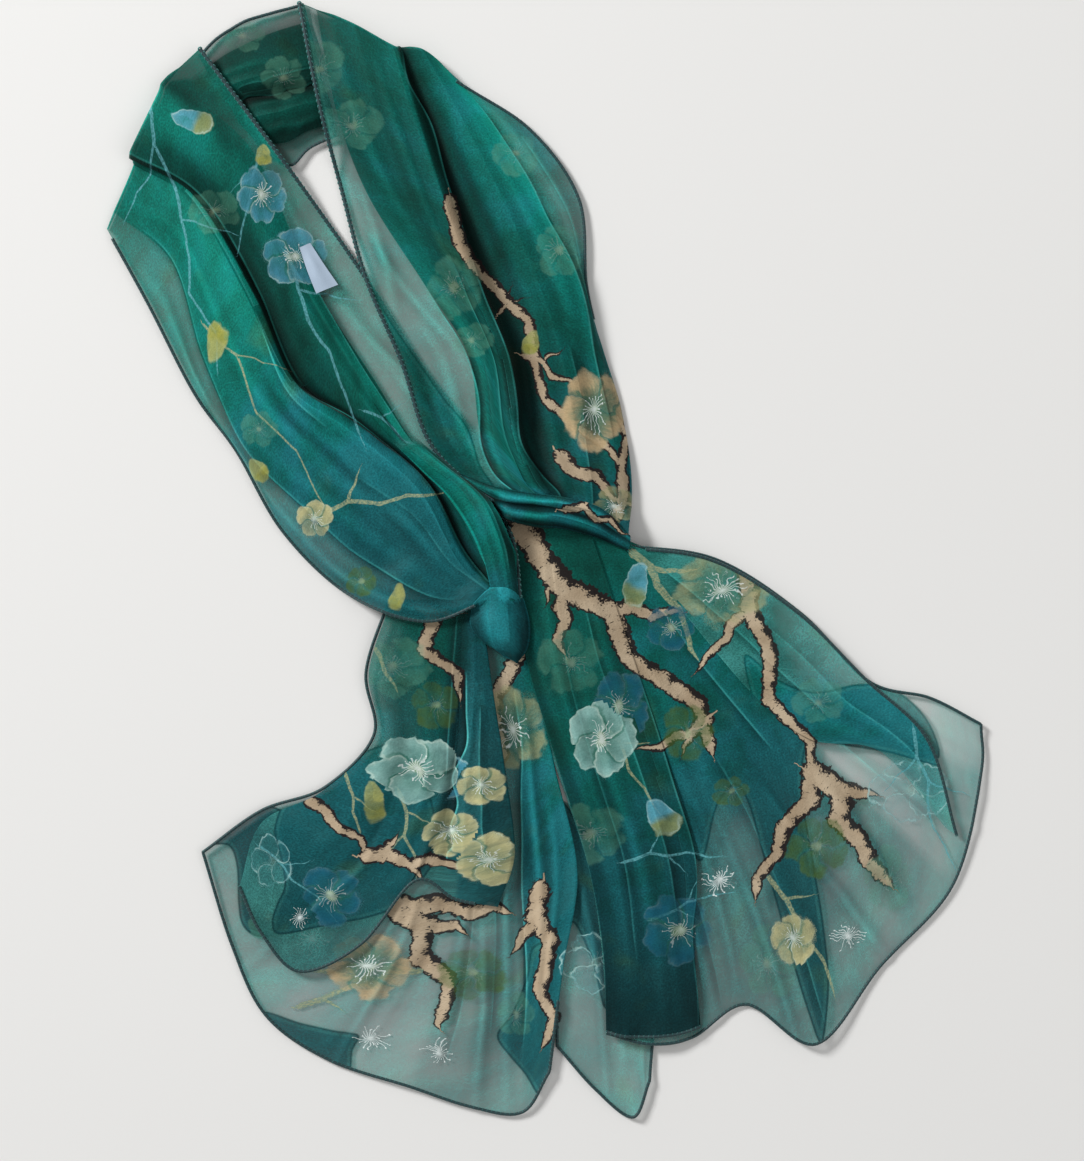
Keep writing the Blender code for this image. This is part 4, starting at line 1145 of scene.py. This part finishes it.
# %% The bench
class Bench:
    """One material and the nodes on it."""

    def __init__(self, name, **settings):
        self.material = bpy.data.materials.new(name)
        self.material.use_nodes = True
        self.tree = self.material.node_tree
        self.shader = self.tree.nodes["Principled BSDF"]
        for socket, value in settings.items():
            self.shader.inputs[socket.replace("_", " ")].default_value = value

    def node(self, kind, settings=None, sockets=None, take=0):
        """Places a node: its settings first, then its sockets' values or links. Returns the output that is taken."""
        made = self.tree.nodes.new(kind)
        for key, value in (settings or {}).items():
            if key != "stops":
                setattr(made, key, value)
                continue
            ramp = made.color_ramp
            while len(ramp.elements) < len(value):
                ramp.elements.new(0.5)
            for element, (place, colour) in zip(ramp.elements, value):
                element.position = place
                element.color = (*colour, 1)
        for key, value in (sockets or {}).items():
            if isinstance(value, Wire):
                self.tree.links.new(value.socket, made.inputs[key])
            else:
                made.inputs[key].default_value = value
        return Wire(self, made.outputs[take])

    def feed(self, socket, wire):
        self.tree.links.new(wire.socket, self.shader.inputs[socket])

    def number(self, name):
        return self.node("ShaderNodeAttribute", {"attribute_name": name}, take="Fac")

    def pair(self, name):
        """The two numbers that a UV map keeps."""
        place = self.node("ShaderNodeUVMap", {"uv_map": name})
        return [self.node("ShaderNodeSeparateXYZ", {}, {0: place}, take) for take in (0, 1)]

    def noise(self, x, y, size, detail=2.0, seed=0.0):
        """Soft noise from 0 to 1, with grains about size across in the units of x and y."""
        place = self.node("ShaderNodeCombineXYZ", {}, {0: x / size, 1: y / size, 2: seed})
        return self.node("ShaderNodeTexNoise", {}, {"Vector": place, "Scale": 1.0, "Detail": detail})

    def chance(self, number, other):
        """A number from 0 to 1 that jumps from one whole number to the next."""
        place = self.node("ShaderNodeCombineXYZ", {}, {0: number, 1: other})
        return self.node("ShaderNodeTexWhiteNoise", {"noise_dimensions": "2D"}, {"Vector": place})

    def mix(self, share, under, over, blend="MIX"):
        """Colour over laid on colour under by share."""
        settings = {"data_type": "RGBA", "blend_type": blend}
        return self.node("ShaderNodeMix", settings, {0: share, 6: under, 7: over}, 2)


# %% [markdown]
# ## The marks of the print
#
# A blossom is drawn from two numbers, a place measured from its middle. Folded round into fifths they give five
# petals, each lying over the next, and folded round again they give fine stamens with a dot at the tip. A twig is
# drawn from the way along it and the way aside: bark is dark at its ragged edges and on its lee side. An image of
# the print would be quicker to make, but it would blur close up.

# %% Marks of a blossom
TURN = 2 * np.pi
PETALS = 5
RAYS = 19  # stamens


def petal_marks(bench):
    """(petals, rim, heart, rays, shadow, own): how much of each shows, from 0 to 1, on an open blossom with five
    petals that overlap all one way round. Own is a number for each petal, so that no two look the same."""
    u, v = bench.pair("Bloom")
    single, strength = bench.pair("BloomKind")
    edge, inner = bench.pair("BloomLook")
    number = bench.number("bloom_own")
    x, y = bench.pair("Cloth")
    u = u + (bench.noise(x, y, 12.0, 2.0, 31.0) - 0.5) * 0.42
    v = v + (bench.noise(x, y, 12.0, 2.0, 32.0) - 0.5) * 0.42
    wobble = bench.noise(x, y, 7.0, 4.0, 3.0) - 0.5
    away = (u * u + v * v) ** 0.5
    turn = v.maths("ARCTAN2", u) / TURN
    spin = turn * PETALS + PETALS
    index = spin.maths("FLOOR")
    angle = (spin - index - 0.5) * (TURN / PETALS)

    def petal(step):
        """How far a place is from this petal's middle (1 at its edge), how far aside, and the petal's own number."""
        own = bench.chance((index + step).maths("MODULO", PETALS), number)
        here = angle - step * TURN / PETALS
        along = away * here.maths("COSINE") - 0.53
        aside = away * here.maths("SINE")
        notch = abs(aside).within(0.14, 0.0) * along.within(0.1, 0.35) * 0.09
        size = own * 0.15 + 0.36
        return (along * along + aside * aside * 0.86) ** 0.5 / size + notch + wobble * 0.22, aside, own

    (reach, aside, own), (next_reach, next_aside, next_own) = petal(0), petal(1)
    over = next_reach.within(1.0, 0.96)
    crossing = abs(next_reach - 1.02).within(0.14, 0.02)
    reach, aside, own = (first * (1 - over) + second * over
                         for first, second in ((reach, next_reach), (aside, next_aside), (own, next_own)))
    bud_reach = (u * u + v * v * (u * 1.7 + 2.6)) ** 0.5 * 1.05 + wobble * 0.4
    reach = reach * (1 - single) + bud_reach * single
    petals = ((1.03 - reach) / (0.3 - edge * 0.3).maths("MAXIMUM", 0.06)).within(0.0, 1.0)
    veins = bench.noise(aside, away * 0.12, 0.045, 2.0, 6.0).within(0.25, 0.75)
    outline = abs(reach - 0.93).within(0.09, 0.01)
    glow = reach.within(0.55, 1.0) * (veins * 0.9 + 0.1)
    rim = (outline * 0.8 + glow * 0.45).maths("MINIMUM", 1.0) * petals * edge
    deep = (away + (veins - 0.5) * 0.3).within(0.85, 0.3) * inner
    base = (u + wobble * 0.3).within(0.05, -0.35) * inner
    shadow = (deep + crossing * 0.6 + (veins - 0.5) * 0.35) * (1 - single) + base * single
    heart = away.within(0.2, 0.08) * (1 - single)
    spokes = turn * RAYS + RAYS + wobble * 2.2
    ray_gap = abs(spokes.maths("FRACT") - 0.5) * away * (TURN / RAYS)
    length = bench.chance(spokes.maths("FLOOR").maths("MODULO", RAYS), number) * 0.38 + 0.14
    ray = ray_gap.within(0.017, 0.003) * (away - length).within(0.03, -0.03)
    tip = ((away - length) * (away - length) + ray_gap * ray_gap) ** 0.5
    rays = (ray * 0.8 + tip.within(0.026, 0.008)).maths("MINIMUM", 1.0) * strength * (1 - single)
    return petals, rim, heart, rays, shadow.maths("MINIMUM", 1.0).maths("MAXIMUM", 0.0), own


# %% Marks of a twig
def twig_marks(bench):
    """(twig, dark, bark, kind): how much twig shows, how dark it is there, how much of it is bark, and its kind."""
    along, offset = bench.pair("Twig")
    half, kind = bench.pair("TwigKind")
    x, y = bench.pair("Cloth")
    bark = kind.within(0.6, 0.9)
    ragged = bench.noise(x, y, 2.8, 4.0, 1.0) - 0.5
    lumps = bench.noise(x, y, 9.0, 2.0, 15.0) - 0.5
    depth = half - abs(offset) + ragged * (half * 0.55 + 0.5) * (bark * 0.5 + 0.7) + lumps * half * 0.7 * bark
    twig = depth.within(-0.15, 0.3)
    grit = bench.noise(x, y, 1.5, 4.0, 5.0)
    patches = bench.noise(along, offset * 0.6, 9.0, 2.0, 2.0)
    band = 0.7 + half * 0.16
    edge = (depth / band + (grit - 0.5) * 1.6).within(1.2, 0.7)
    lee = (offset / half + (patches - 0.5) * 2.4 + (grit - 0.5) * 2.0).within(0.32, 0.62)
    ticks = bench.noise(along * 2.4, offset * 0.45, 3.0, 1.0, 7.0).within(0.66, 0.7) * grit.within(0.42, 0.55)
    dark = (edge + lee + ticks).maths("MINIMUM", 1.0)
    return twig, dark, bark, kind


# %% [markdown]
# ## The chiffon
#
# One thin layer lets a good part of the light through, and each further layer takes away the same share of what
# is left: that is the power in **solid** below. The dye runs from emerald to teal, with a fine speckle, because
# crêpe yarn takes it unevenly. The light and shade of the folds and folded edges is painted into the colour.
# The print is laid on top, and is more solid than the cloth that carries it.

# %% Layers and folded edges
def layer_marks(bench, wash):
    """(layers, edge, lit, rim, shade): how many layers lie here, the dark line at a hidden edge and the painted
    highlight just inside it, and the painted highlight on a folded edge's rim and the painted shadow strip beside it."""
    gap = bench.number("lip")
    clear = bench.number("lip_strength")
    # rim: a painted highlight along the top of a folded edge; shade: a painted shadow just beside it
    rim = gap.within(-0.2, 0.2) * gap.within(1.7, 0.6) * clear * (wash.within(0.3, 0.6) * 0.6 + 0.4)
    shade = gap.within(-6.5, -0.2) * gap.within(0.3, -0.1) * clear
    layers = bench.number("cover") + rim * 0.4 + shade * 0.35
    edge = 0.0
    lit = 0.0
    for number in (1, 2, 3):
        folded = bench.number(f"folded_{number}")
        layers = layers + folded.within(-0.5, 0.5)
        edge = abs(folded - 0.2).within(1.1, 0.2) + edge
        # lit: a painted highlight, a pale line just inside each hidden edge
        lit = abs(folded - 2.1).within(1.4, 0.3) + lit
    return layers, edge, lit, rim, shade


# %% The dyed cloth
THIN = 0.55  # how solid one layer is
DYE_RUN = [(0.0, (0.003, 0.215, 0.160)), (0.3, (0.003, 0.175, 0.150)), (0.6, (0.009, 0.148, 0.168)),
           (1.0, (0.010, 0.084, 0.092))]
MILKY = (0.075, 0.34, 0.30, 1)  # a single layer, with light behind it
STAIN = (0.07, 0.17, 0.03, 1)
# the colour of the painted highlight on a folded edge's rim
PAINTED_RIM_HIGHLIGHT = (0.09, 0.45, 0.42, 1)


def dyed_cloth(bench, x, y, speckle, cloud):
    """(ground, light, solid): the cloth's colour without its print, how light it is drawn, and how solid. The light
    is painted light and shade of the folds and folded edges, times the dye's uneven speckle, streaks and clouds.
    """
    streak = bench.noise(x, y * 0.2, 3.4, 3.0, 9.0)
    wash = bench.noise(x, y, 44.0, 3.0, 12.0)
    layers, edge, lit, rim, shade = layer_marks(bench, wash)
    solid = 1 - (1 - (speckle * 0.07 + cloud * 0.12 + (THIN - 0.08))) ** (layers ** 1.4 + edge * 0.7)
    hue = bench.number("hue") + (cloud - 0.5) * 0.42
    dyed = bench.node("ShaderNodeValToRGB", {"stops": DYE_RUN}, {0: hue})
    # a single layer looks milky, and the painted highlight inside hidden edges makes it paler there
    milk = layers.within(2.0, 1.0) * (wash.within(0.35, 0.65) * 0.4 + 0.36) + lit * 0.14
    dyed = bench.mix(milk.maths("MINIMUM", 1.0), dyed, MILKY)
    dyed = bench.mix(wash.within(0.6, 0.78) * 0.3, dyed, STAIN)
    # painted highlight: the rim of a folded edge is drawn in a paler teal
    dyed = bench.mix(rim * 0.5, dyed, PAINTED_RIM_HIGHLIGHT)
    ink = abs(bench.noise(x, y, 13.0, 5.0, 27.0) - 0.5).within(0.022, 0.004)
    # painted light and shade of the folds, times the dye's uneven speckle, clouds, streaks and ink lines
    light = bench.number("tone") * (speckle * 0.38 + 0.81) * (cloud * 0.56 + 0.72)
    light = light * (streak * 0.18 + 0.91 + ink * 0.14)
    # painted shadow in the strip beside a folded edge, and a painted highlight on its rim
    light = light * (1 - shade * 0.6) + rim * 0.5
    deep = 1 / (layers * 0.06 + edge * 0.6 + 0.9)
    return bench.mix(1.0, dyed, light * deep, "MULTIPLY"), light, solid


# %% The print on the cloth
def with_twigs(bench, ground, x, y, speckle, cloud):
    """(ground, solid): the cloth with its twigs printed on it, and how solid they are."""
    twig, dark, bark, kind = twig_marks(bench)
    wood = bench.mix(cloud, (0.42, 0.31, 0.20, 1), (0.54, 0.43, 0.30, 1))
    wood = bench.mix(dark, wood, (0.020, 0.012, 0.012, 1))
    line = bench.mix(kind.within(0.1, 0.4), (0.14, 0.45, 0.50, 1), (0.42, 0.44, 0.24, 1))
    line = bench.mix(speckle * 0.6, line, (0.03, 0.14, 0.13, 1))
    chalk = bench.noise(x, y, 1.7, 3.0, 25.0).within(0.32, 0.6) * 0.6 + 0.32
    solid = twig * (bark * 0.96 + (1 - bark) * chalk)
    return bench.mix(solid, ground, bench.mix(bark, line, wood)), solid


def with_blossoms(bench, ground, x, y):
    """(ground, solid, rays): the cloth with its blossoms printed on it, and how solid they and their rays are."""
    petals, rim, heart, rays, shadow, own = petal_marks(bench)
    lost = bench.noise(x, y, 11.0, 3.0, 23.0).within(0.32, 0.6)
    rim = rim * (lost * 0.75 + 0.25)
    dye = bench.node("ShaderNodeAttribute", {"attribute_name": "bloom_dye"}, take="Color")
    body = bench.node("ShaderNodeAttribute", {"attribute_name": "bloom_dye"}, take="Alpha")
    wash = bench.noise(x, y, 6.0, 4.0, 21.0) * 0.9 + own * 0.6
    body = body * (lost * 0.35 + 0.65) * (wash * 0.7 + 0.45)
    solid = (petals * body).maths("MINIMUM", 1.0).maths("MAXIMUM", rim)
    dip = bench.mix(bench.pair("BloomKind")[0], (0.02, 0.15, 0.10, 1), (0.30, 0.29, 0.02, 1))
    petal = bench.mix(shadow * 0.85, dye, dip)
    petal = bench.mix(rim * 0.75, petal, (0.50, 0.68, 0.60, 1))
    ground = bench.mix(solid, ground, petal)
    ground = bench.mix(heart * body, ground, (0.20, 0.32, 0.14, 1))
    return bench.mix(rays, ground, (0.80, 0.88, 0.86, 1)), solid, rays


# %% The cloth's finish
def chiffon():
    """The printed cloth."""
    bench = Bench("printed chiffon", Roughness=0.6, Sheen_Weight=0.03, Sheen_Roughness=0.4, Specular_IOR_Level=0.08)
    x, y = bench.pair("Cloth")
    speckle = bench.noise(x, y, 1.2, 2.0).within(0.28, 0.72)
    cloud = bench.noise(x, y, 26.0, 4.0, 4.0).within(0.25, 0.75)
    ground, light, solid = dyed_cloth(bench, x, y, speckle, cloud)
    ground, twig_solid = with_twigs(bench, ground, x, y, speckle, cloud)
    ground, petal_solid, rays = with_blossoms(bench, ground, x, y)
    # the print takes part of the painted light and shade too
    ground = bench.mix(1.0, ground, light.maths("MINIMUM", 1.0) * 0.45 + 0.55, "MULTIPLY")
    printed = (twig_solid * 0.9).maths("MAXIMUM", petal_solid * 0.8).maths("MAXIMUM", rays)
    bench.feed("Base Color", ground)
    bench.feed("Alpha", (1 - (1 - solid) * (1 - printed)).maths("MINIMUM", 1.0))
    crepe = bench.node("ShaderNodeBump", {}, {"Strength": 0.3, "Distance": 0.0003, "Height": speckle}, "Normal")
    bench.feed("Normal", crepe)
    return bench.material


cloth_finish = chiffon()
for sheet in SHEETS.values():
    sheet.data.materials.append(cloth_finish)
print("chiffon finish:", len(cloth_finish.node_tree.nodes), "nodes")

# %% [markdown]
# ## The rolled hem
#
# The edge of a chiffon scarf is rolled into a cord about two millimetres thick and overcast, so that loops of
# thread wind round it. They could be placed one by one, or painted on as a bump, but a Geometry Nodes tree follows
# any edge, keeps the spacing even and gives loops that show at the rim. A round profile is swept along the edge,
# and one small slanted ring of thread is repeated along it.

# %% Plain finishes
def plain_finish(name, colour, roughness, sheen):
    bench = Bench(name, Roughness=roughness, Sheen_Weight=sheen)
    bench.shader.inputs["Base Color"].default_value = (*colour, 1)
    return bench.material


roll_finish = plain_finish("rolled hem", (0.003, 0.030, 0.034), 0.6, 0.1)
thread_finish = plain_finish("hem thread", (0.040, 0.200, 0.185), 0.5, 0.1)
print("finishes:", roll_finish.name, "and", thread_finish.name)


# %% The hem maker
HEM = {"Roll radius": 0.00100, "Thread radius": 0.00020, "Stitch spacing": 0.0030, "Stitch slant": 0.6}
BOLD_HEM = {"Roll radius": 0.00120, "Thread radius": 0.00050, "Stitch spacing": 0.0036, "Stitch slant": 0.9}
ROUND = 8  # sides of the roll and of each loop
STRAND = 4  # sides of the thread, which is very thin


def hem_maker():
    """A tree that turns an edge line into a rolled hem with overcast thread."""
    tree = bpy.data.node_groups.new("Rolled hem", "GeometryNodeTree")
    tree.interface.new_socket("Geometry", in_out="OUTPUT", socket_type="NodeSocketGeometry")
    tree.interface.new_socket("Geometry", in_out="INPUT", socket_type="NodeSocketGeometry")
    for name in HEM:
        tree.interface.new_socket(name, in_out="INPUT", socket_type="NodeSocketFloat")
    given = tree.nodes.new("NodeGroupInput").outputs
    ends = tree.nodes.new("NodeGroupOutput")

    def node(kind, settings=None, **sockets):
        made = tree.nodes.new(kind)
        for key, value in (settings or {}).items():
            setattr(made, key, value)
        for key, value in sockets.items():
            socket = made.inputs[key.replace("_", " ")]
            if isinstance(value, bpy.types.NodeSocket):
                tree.links.new(value, socket)
            else:
                socket.default_value = value
        return made.outputs

    line = node("GeometryNodeMeshToCurve", Mesh=given["Geometry"])["Curve"]
    ring = node("GeometryNodeCurvePrimitiveCircle", Resolution=ROUND, Radius=given["Roll radius"])["Curve"]
    roll = node("GeometryNodeCurveToMesh", Curve=line, Profile_Curve=ring, Fill_Caps=True)["Mesh"]
    roll = node("GeometryNodeSetMaterial", Geometry=roll, Material=roll_finish)["Geometry"]
    strand = node("GeometryNodeCurvePrimitiveCircle", Resolution=STRAND, Radius=given["Thread radius"])["Curve"]
    loop = node("GeometryNodeCurveToMesh", Curve=ring, Profile_Curve=strand)["Mesh"]
    slant = node("ShaderNodeCombineXYZ", X=given["Stitch slant"])["Vector"]
    loop = node("GeometryNodeTransform", Geometry=loop, Rotation=slant)["Geometry"]
    marks = node("GeometryNodeCurveToPoints", {"mode": "LENGTH"}, Curve=line, Length=given["Stitch spacing"])
    loops = node("GeometryNodeInstanceOnPoints", Points=marks["Points"], Instance=loop,
                 Rotation=marks["Rotation"])["Instances"]
    loops = node("GeometryNodeRealizeInstances", Geometry=loops)["Geometry"]
    loops = node("GeometryNodeSetMaterial", Geometry=loops, Material=thread_finish)["Geometry"]
    joined = tree.nodes.new("GeometryNodeJoinGeometry")
    tree.links.new(loops, joined.inputs[0])
    tree.links.new(roll, joined.inputs[0])
    whole = node("GeometryNodeRealizeInstances", Geometry=joined.outputs[0])["Geometry"]
    tree.links.new(whole, ends.inputs[0])
    return tree


# %% Running the tree on a line
def made_by(tree, line, values):
    """Runs a tree on a line object with these inputs, and returns the plain mesh that takes the line's place."""
    modifier = line.modifiers.new("maker", "NODES")
    modifier.node_group = tree
    for item in tree.interface.items_tree:
        if item.name in values:
            modifier[item.identifier] = values[item.name]
    evaluated = line.evaluated_get(bpy.context.evaluated_depsgraph_get())
    mesh = bpy.data.meshes.new_from_object(evaluated)
    line.modifiers.clear()
    line.data = mesh
    mesh.shade_smooth()
    return mesh


# %% Hem the real edges
BOLD = {"left_arm": 1, "right_arm": 0}  # which path of hems crosses at the breast and shows most thread
HEM_GRAIN = 0.7  # least way between two points of a hem's line, in mm
hem_tree = hem_maker()


def edge_line(net, path):
    """The points of a path along the net's sides, in mm."""
    sides = {"first": net[:, 0], "last": net[:, -1], "start": net[0], "end": net[-1]}
    line = []
    for side, begins, finishes in path:
        points = sides[side]
        first, last = round(begins * (len(points) - 1)), round(finishes * (len(points) - 1))
        step = 1 if last > first else -1
        for point in points[first:(last + step if last + step >= 0 else None):step]:
            if not line or np.linalg.norm(point - line[-1]) > HEM_GRAIN:
                line.append(point)
    return np.array(line)


def hem(stretch):
    """One piece with all the hems of a stretch."""
    joined = bmesh.new()
    for number, path in enumerate(stretch.hems):
        line = edge_line(NETS[stretch.name], path) * MM
        drawn = bpy.data.meshes.new(stretch.name + "_hem_path")
        drawn.from_pydata(line.tolist(), [(i, i + 1) for i in range(len(line) - 1)], [])
        guide = bpy.data.objects.new(drawn.name, drawn)
        scene.collection.objects.link(guide)
        mesh = made_by(hem_tree, guide, BOLD_HEM if BOLD.get(stretch.name) == number else HEM)
        joined.from_mesh(mesh)
        bpy.data.objects.remove(guide)
    joined.to_mesh(mesh)
    joined.free()
    piece = bpy.data.objects.new(stretch.name + "_hem", mesh)
    scene.collection.objects.link(piece)
    print(f"{piece.name}: {len(stretch.hems)} lines, {sum(len(p.vertices) - 2 for p in mesh.polygons)} triangles")
    return piece


HEMS = {stretch.name: hem(stretch) for stretch in STRETCHES if stretch.hems}

# %% [markdown]
# ## The care label
#
# A short piece of white satin tape is sewn near the inner edge of the left arm. It carries no words here. A small
# flat box would do from afar, but a sheet with a slight bend, laid on its own small solid, catches the light as
# tape does.

# %% The label
label_finish = plain_finish("label tape", (0.36, 0.45, 0.56), 0.5, 0.2)
LABEL = Stretch("care_label", CARE_LABEL, (0, 0), (Crease(0.3, 0.5, 0.1, 0.9, 0.5, 2.0),), (), (), "label_tape")
label, _ = lay(LABEL, list(SHEETS.values()), random)
label.data.materials.append(label_finish)
print("label:", len(label.data.polygons), "faces")

# %% [markdown]
# ## Hanging the pieces on the frame
#
# Every sheet stands for its own imported solid, which is hidden, and it hangs from the frame's root with its
# hems. The size that it was cut to, the stretch of the one big rectangle that shows there, is worked out and
# printed with the share of it that the sheet's area makes.

def cut_size(stretch):
    """(width, length) in metres of the cloth that shows: its mean width across the folds and its mean length."""
    points = NETS[stretch.name]
    wide = np.linalg.norm(np.diff(points, axis=1), axis=2).sum(1).mean()
    long = np.linalg.norm(np.diff(points, axis=0), axis=2).sum(0).mean()
    return float(wide) * MM, float(long) * MM


for stretch in STRETCHES:
    sheet = SHEETS[stretch.name]
    trim = [HEMS[stretch.name]] if stretch.hems else []
    for piece in (sheet, *trim):
        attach(piece, "root")
    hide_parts(stretch.name)
    flat = cut_size(stretch)
    share = sum(face.area for face in sheet.data.polygons) / (flat[0] * flat[1])
    print(f"{stretch.name}: cut {flat[0] / MM:.0f} x {flat[1] / MM:.0f} mm, area share {share:.2f}")
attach(label, "root")
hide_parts("care_label")

# %% [markdown]
# ## Table top, light and camera
#
# A pale table top and two soft lamps show the cloth plainly. The stronger lamp stands low at the upper left, so
# the folds shade each other, and the weaker one keeps their dark sides open. The camera looks straight down.

# %% Stage
def table_top(half=3.0, level=-0.0004):
    """A square table top, a hair below the scarf."""
    mesh = bpy.data.meshes.new("floor")
    corners = [(-half, -half, level), (half, -half, level), (half, half, level), (-half, half, level)]
    mesh.from_pydata(corners, [], [(0, 1, 2, 3)])
    mesh.materials.append(plain_finish("table top", (0.76, 0.755, 0.74), 0.8, 0.0))
    floor = bpy.data.objects.new("floor", mesh)
    scene.collection.objects.link(floor)


def lamp(name, place, size, watts):
    """A square soft lamp that faces the scarf."""
    light = bpy.data.lights.new(name, "AREA")
    light.size = size
    light.energy = watts
    made = bpy.data.objects.new(name, light)
    made.location = place
    made.rotation_euler = (-Vector(place)).to_track_quat("-Z", "Y").to_euler()
    scene.collection.objects.link(made)


table_top()
lamp("key lamp", (-3.4, 2.6, 2.7), 1.2, 262)
lamp("fill lamp", (1.6, -0.6, 2.2), 2.0, 12)
world = bpy.data.worlds.new("studio")
world.use_nodes = True
sky = world.node_tree.nodes["Background"].inputs
sky["Color"].default_value = (1.0, 1.0, 1.0, 1)
sky["Strength"].default_value = 0.40
scene.world = world
scene.view_settings.view_transform = "Standard"

# %% Camera
LENS = 85.0
SENSOR = 36.0  # mm, the longer side of the camera's sensor
FRAME_HEIGHT = 0.7547  # metres that the longer side of the picture shows
FRAME_MIDDLE = (-0.0029, -0.0137)
camera_data = bpy.data.cameras.new("camera")
camera_data.lens = LENS
camera = bpy.data.objects.new("camera", camera_data)
camera.location = (*FRAME_MIDDLE, FRAME_HEIGHT * LENS / SENSOR)
scene.collection.objects.link(camera)
scene.camera = camera
print("camera", round(camera.location.z, 3), "m above the table")
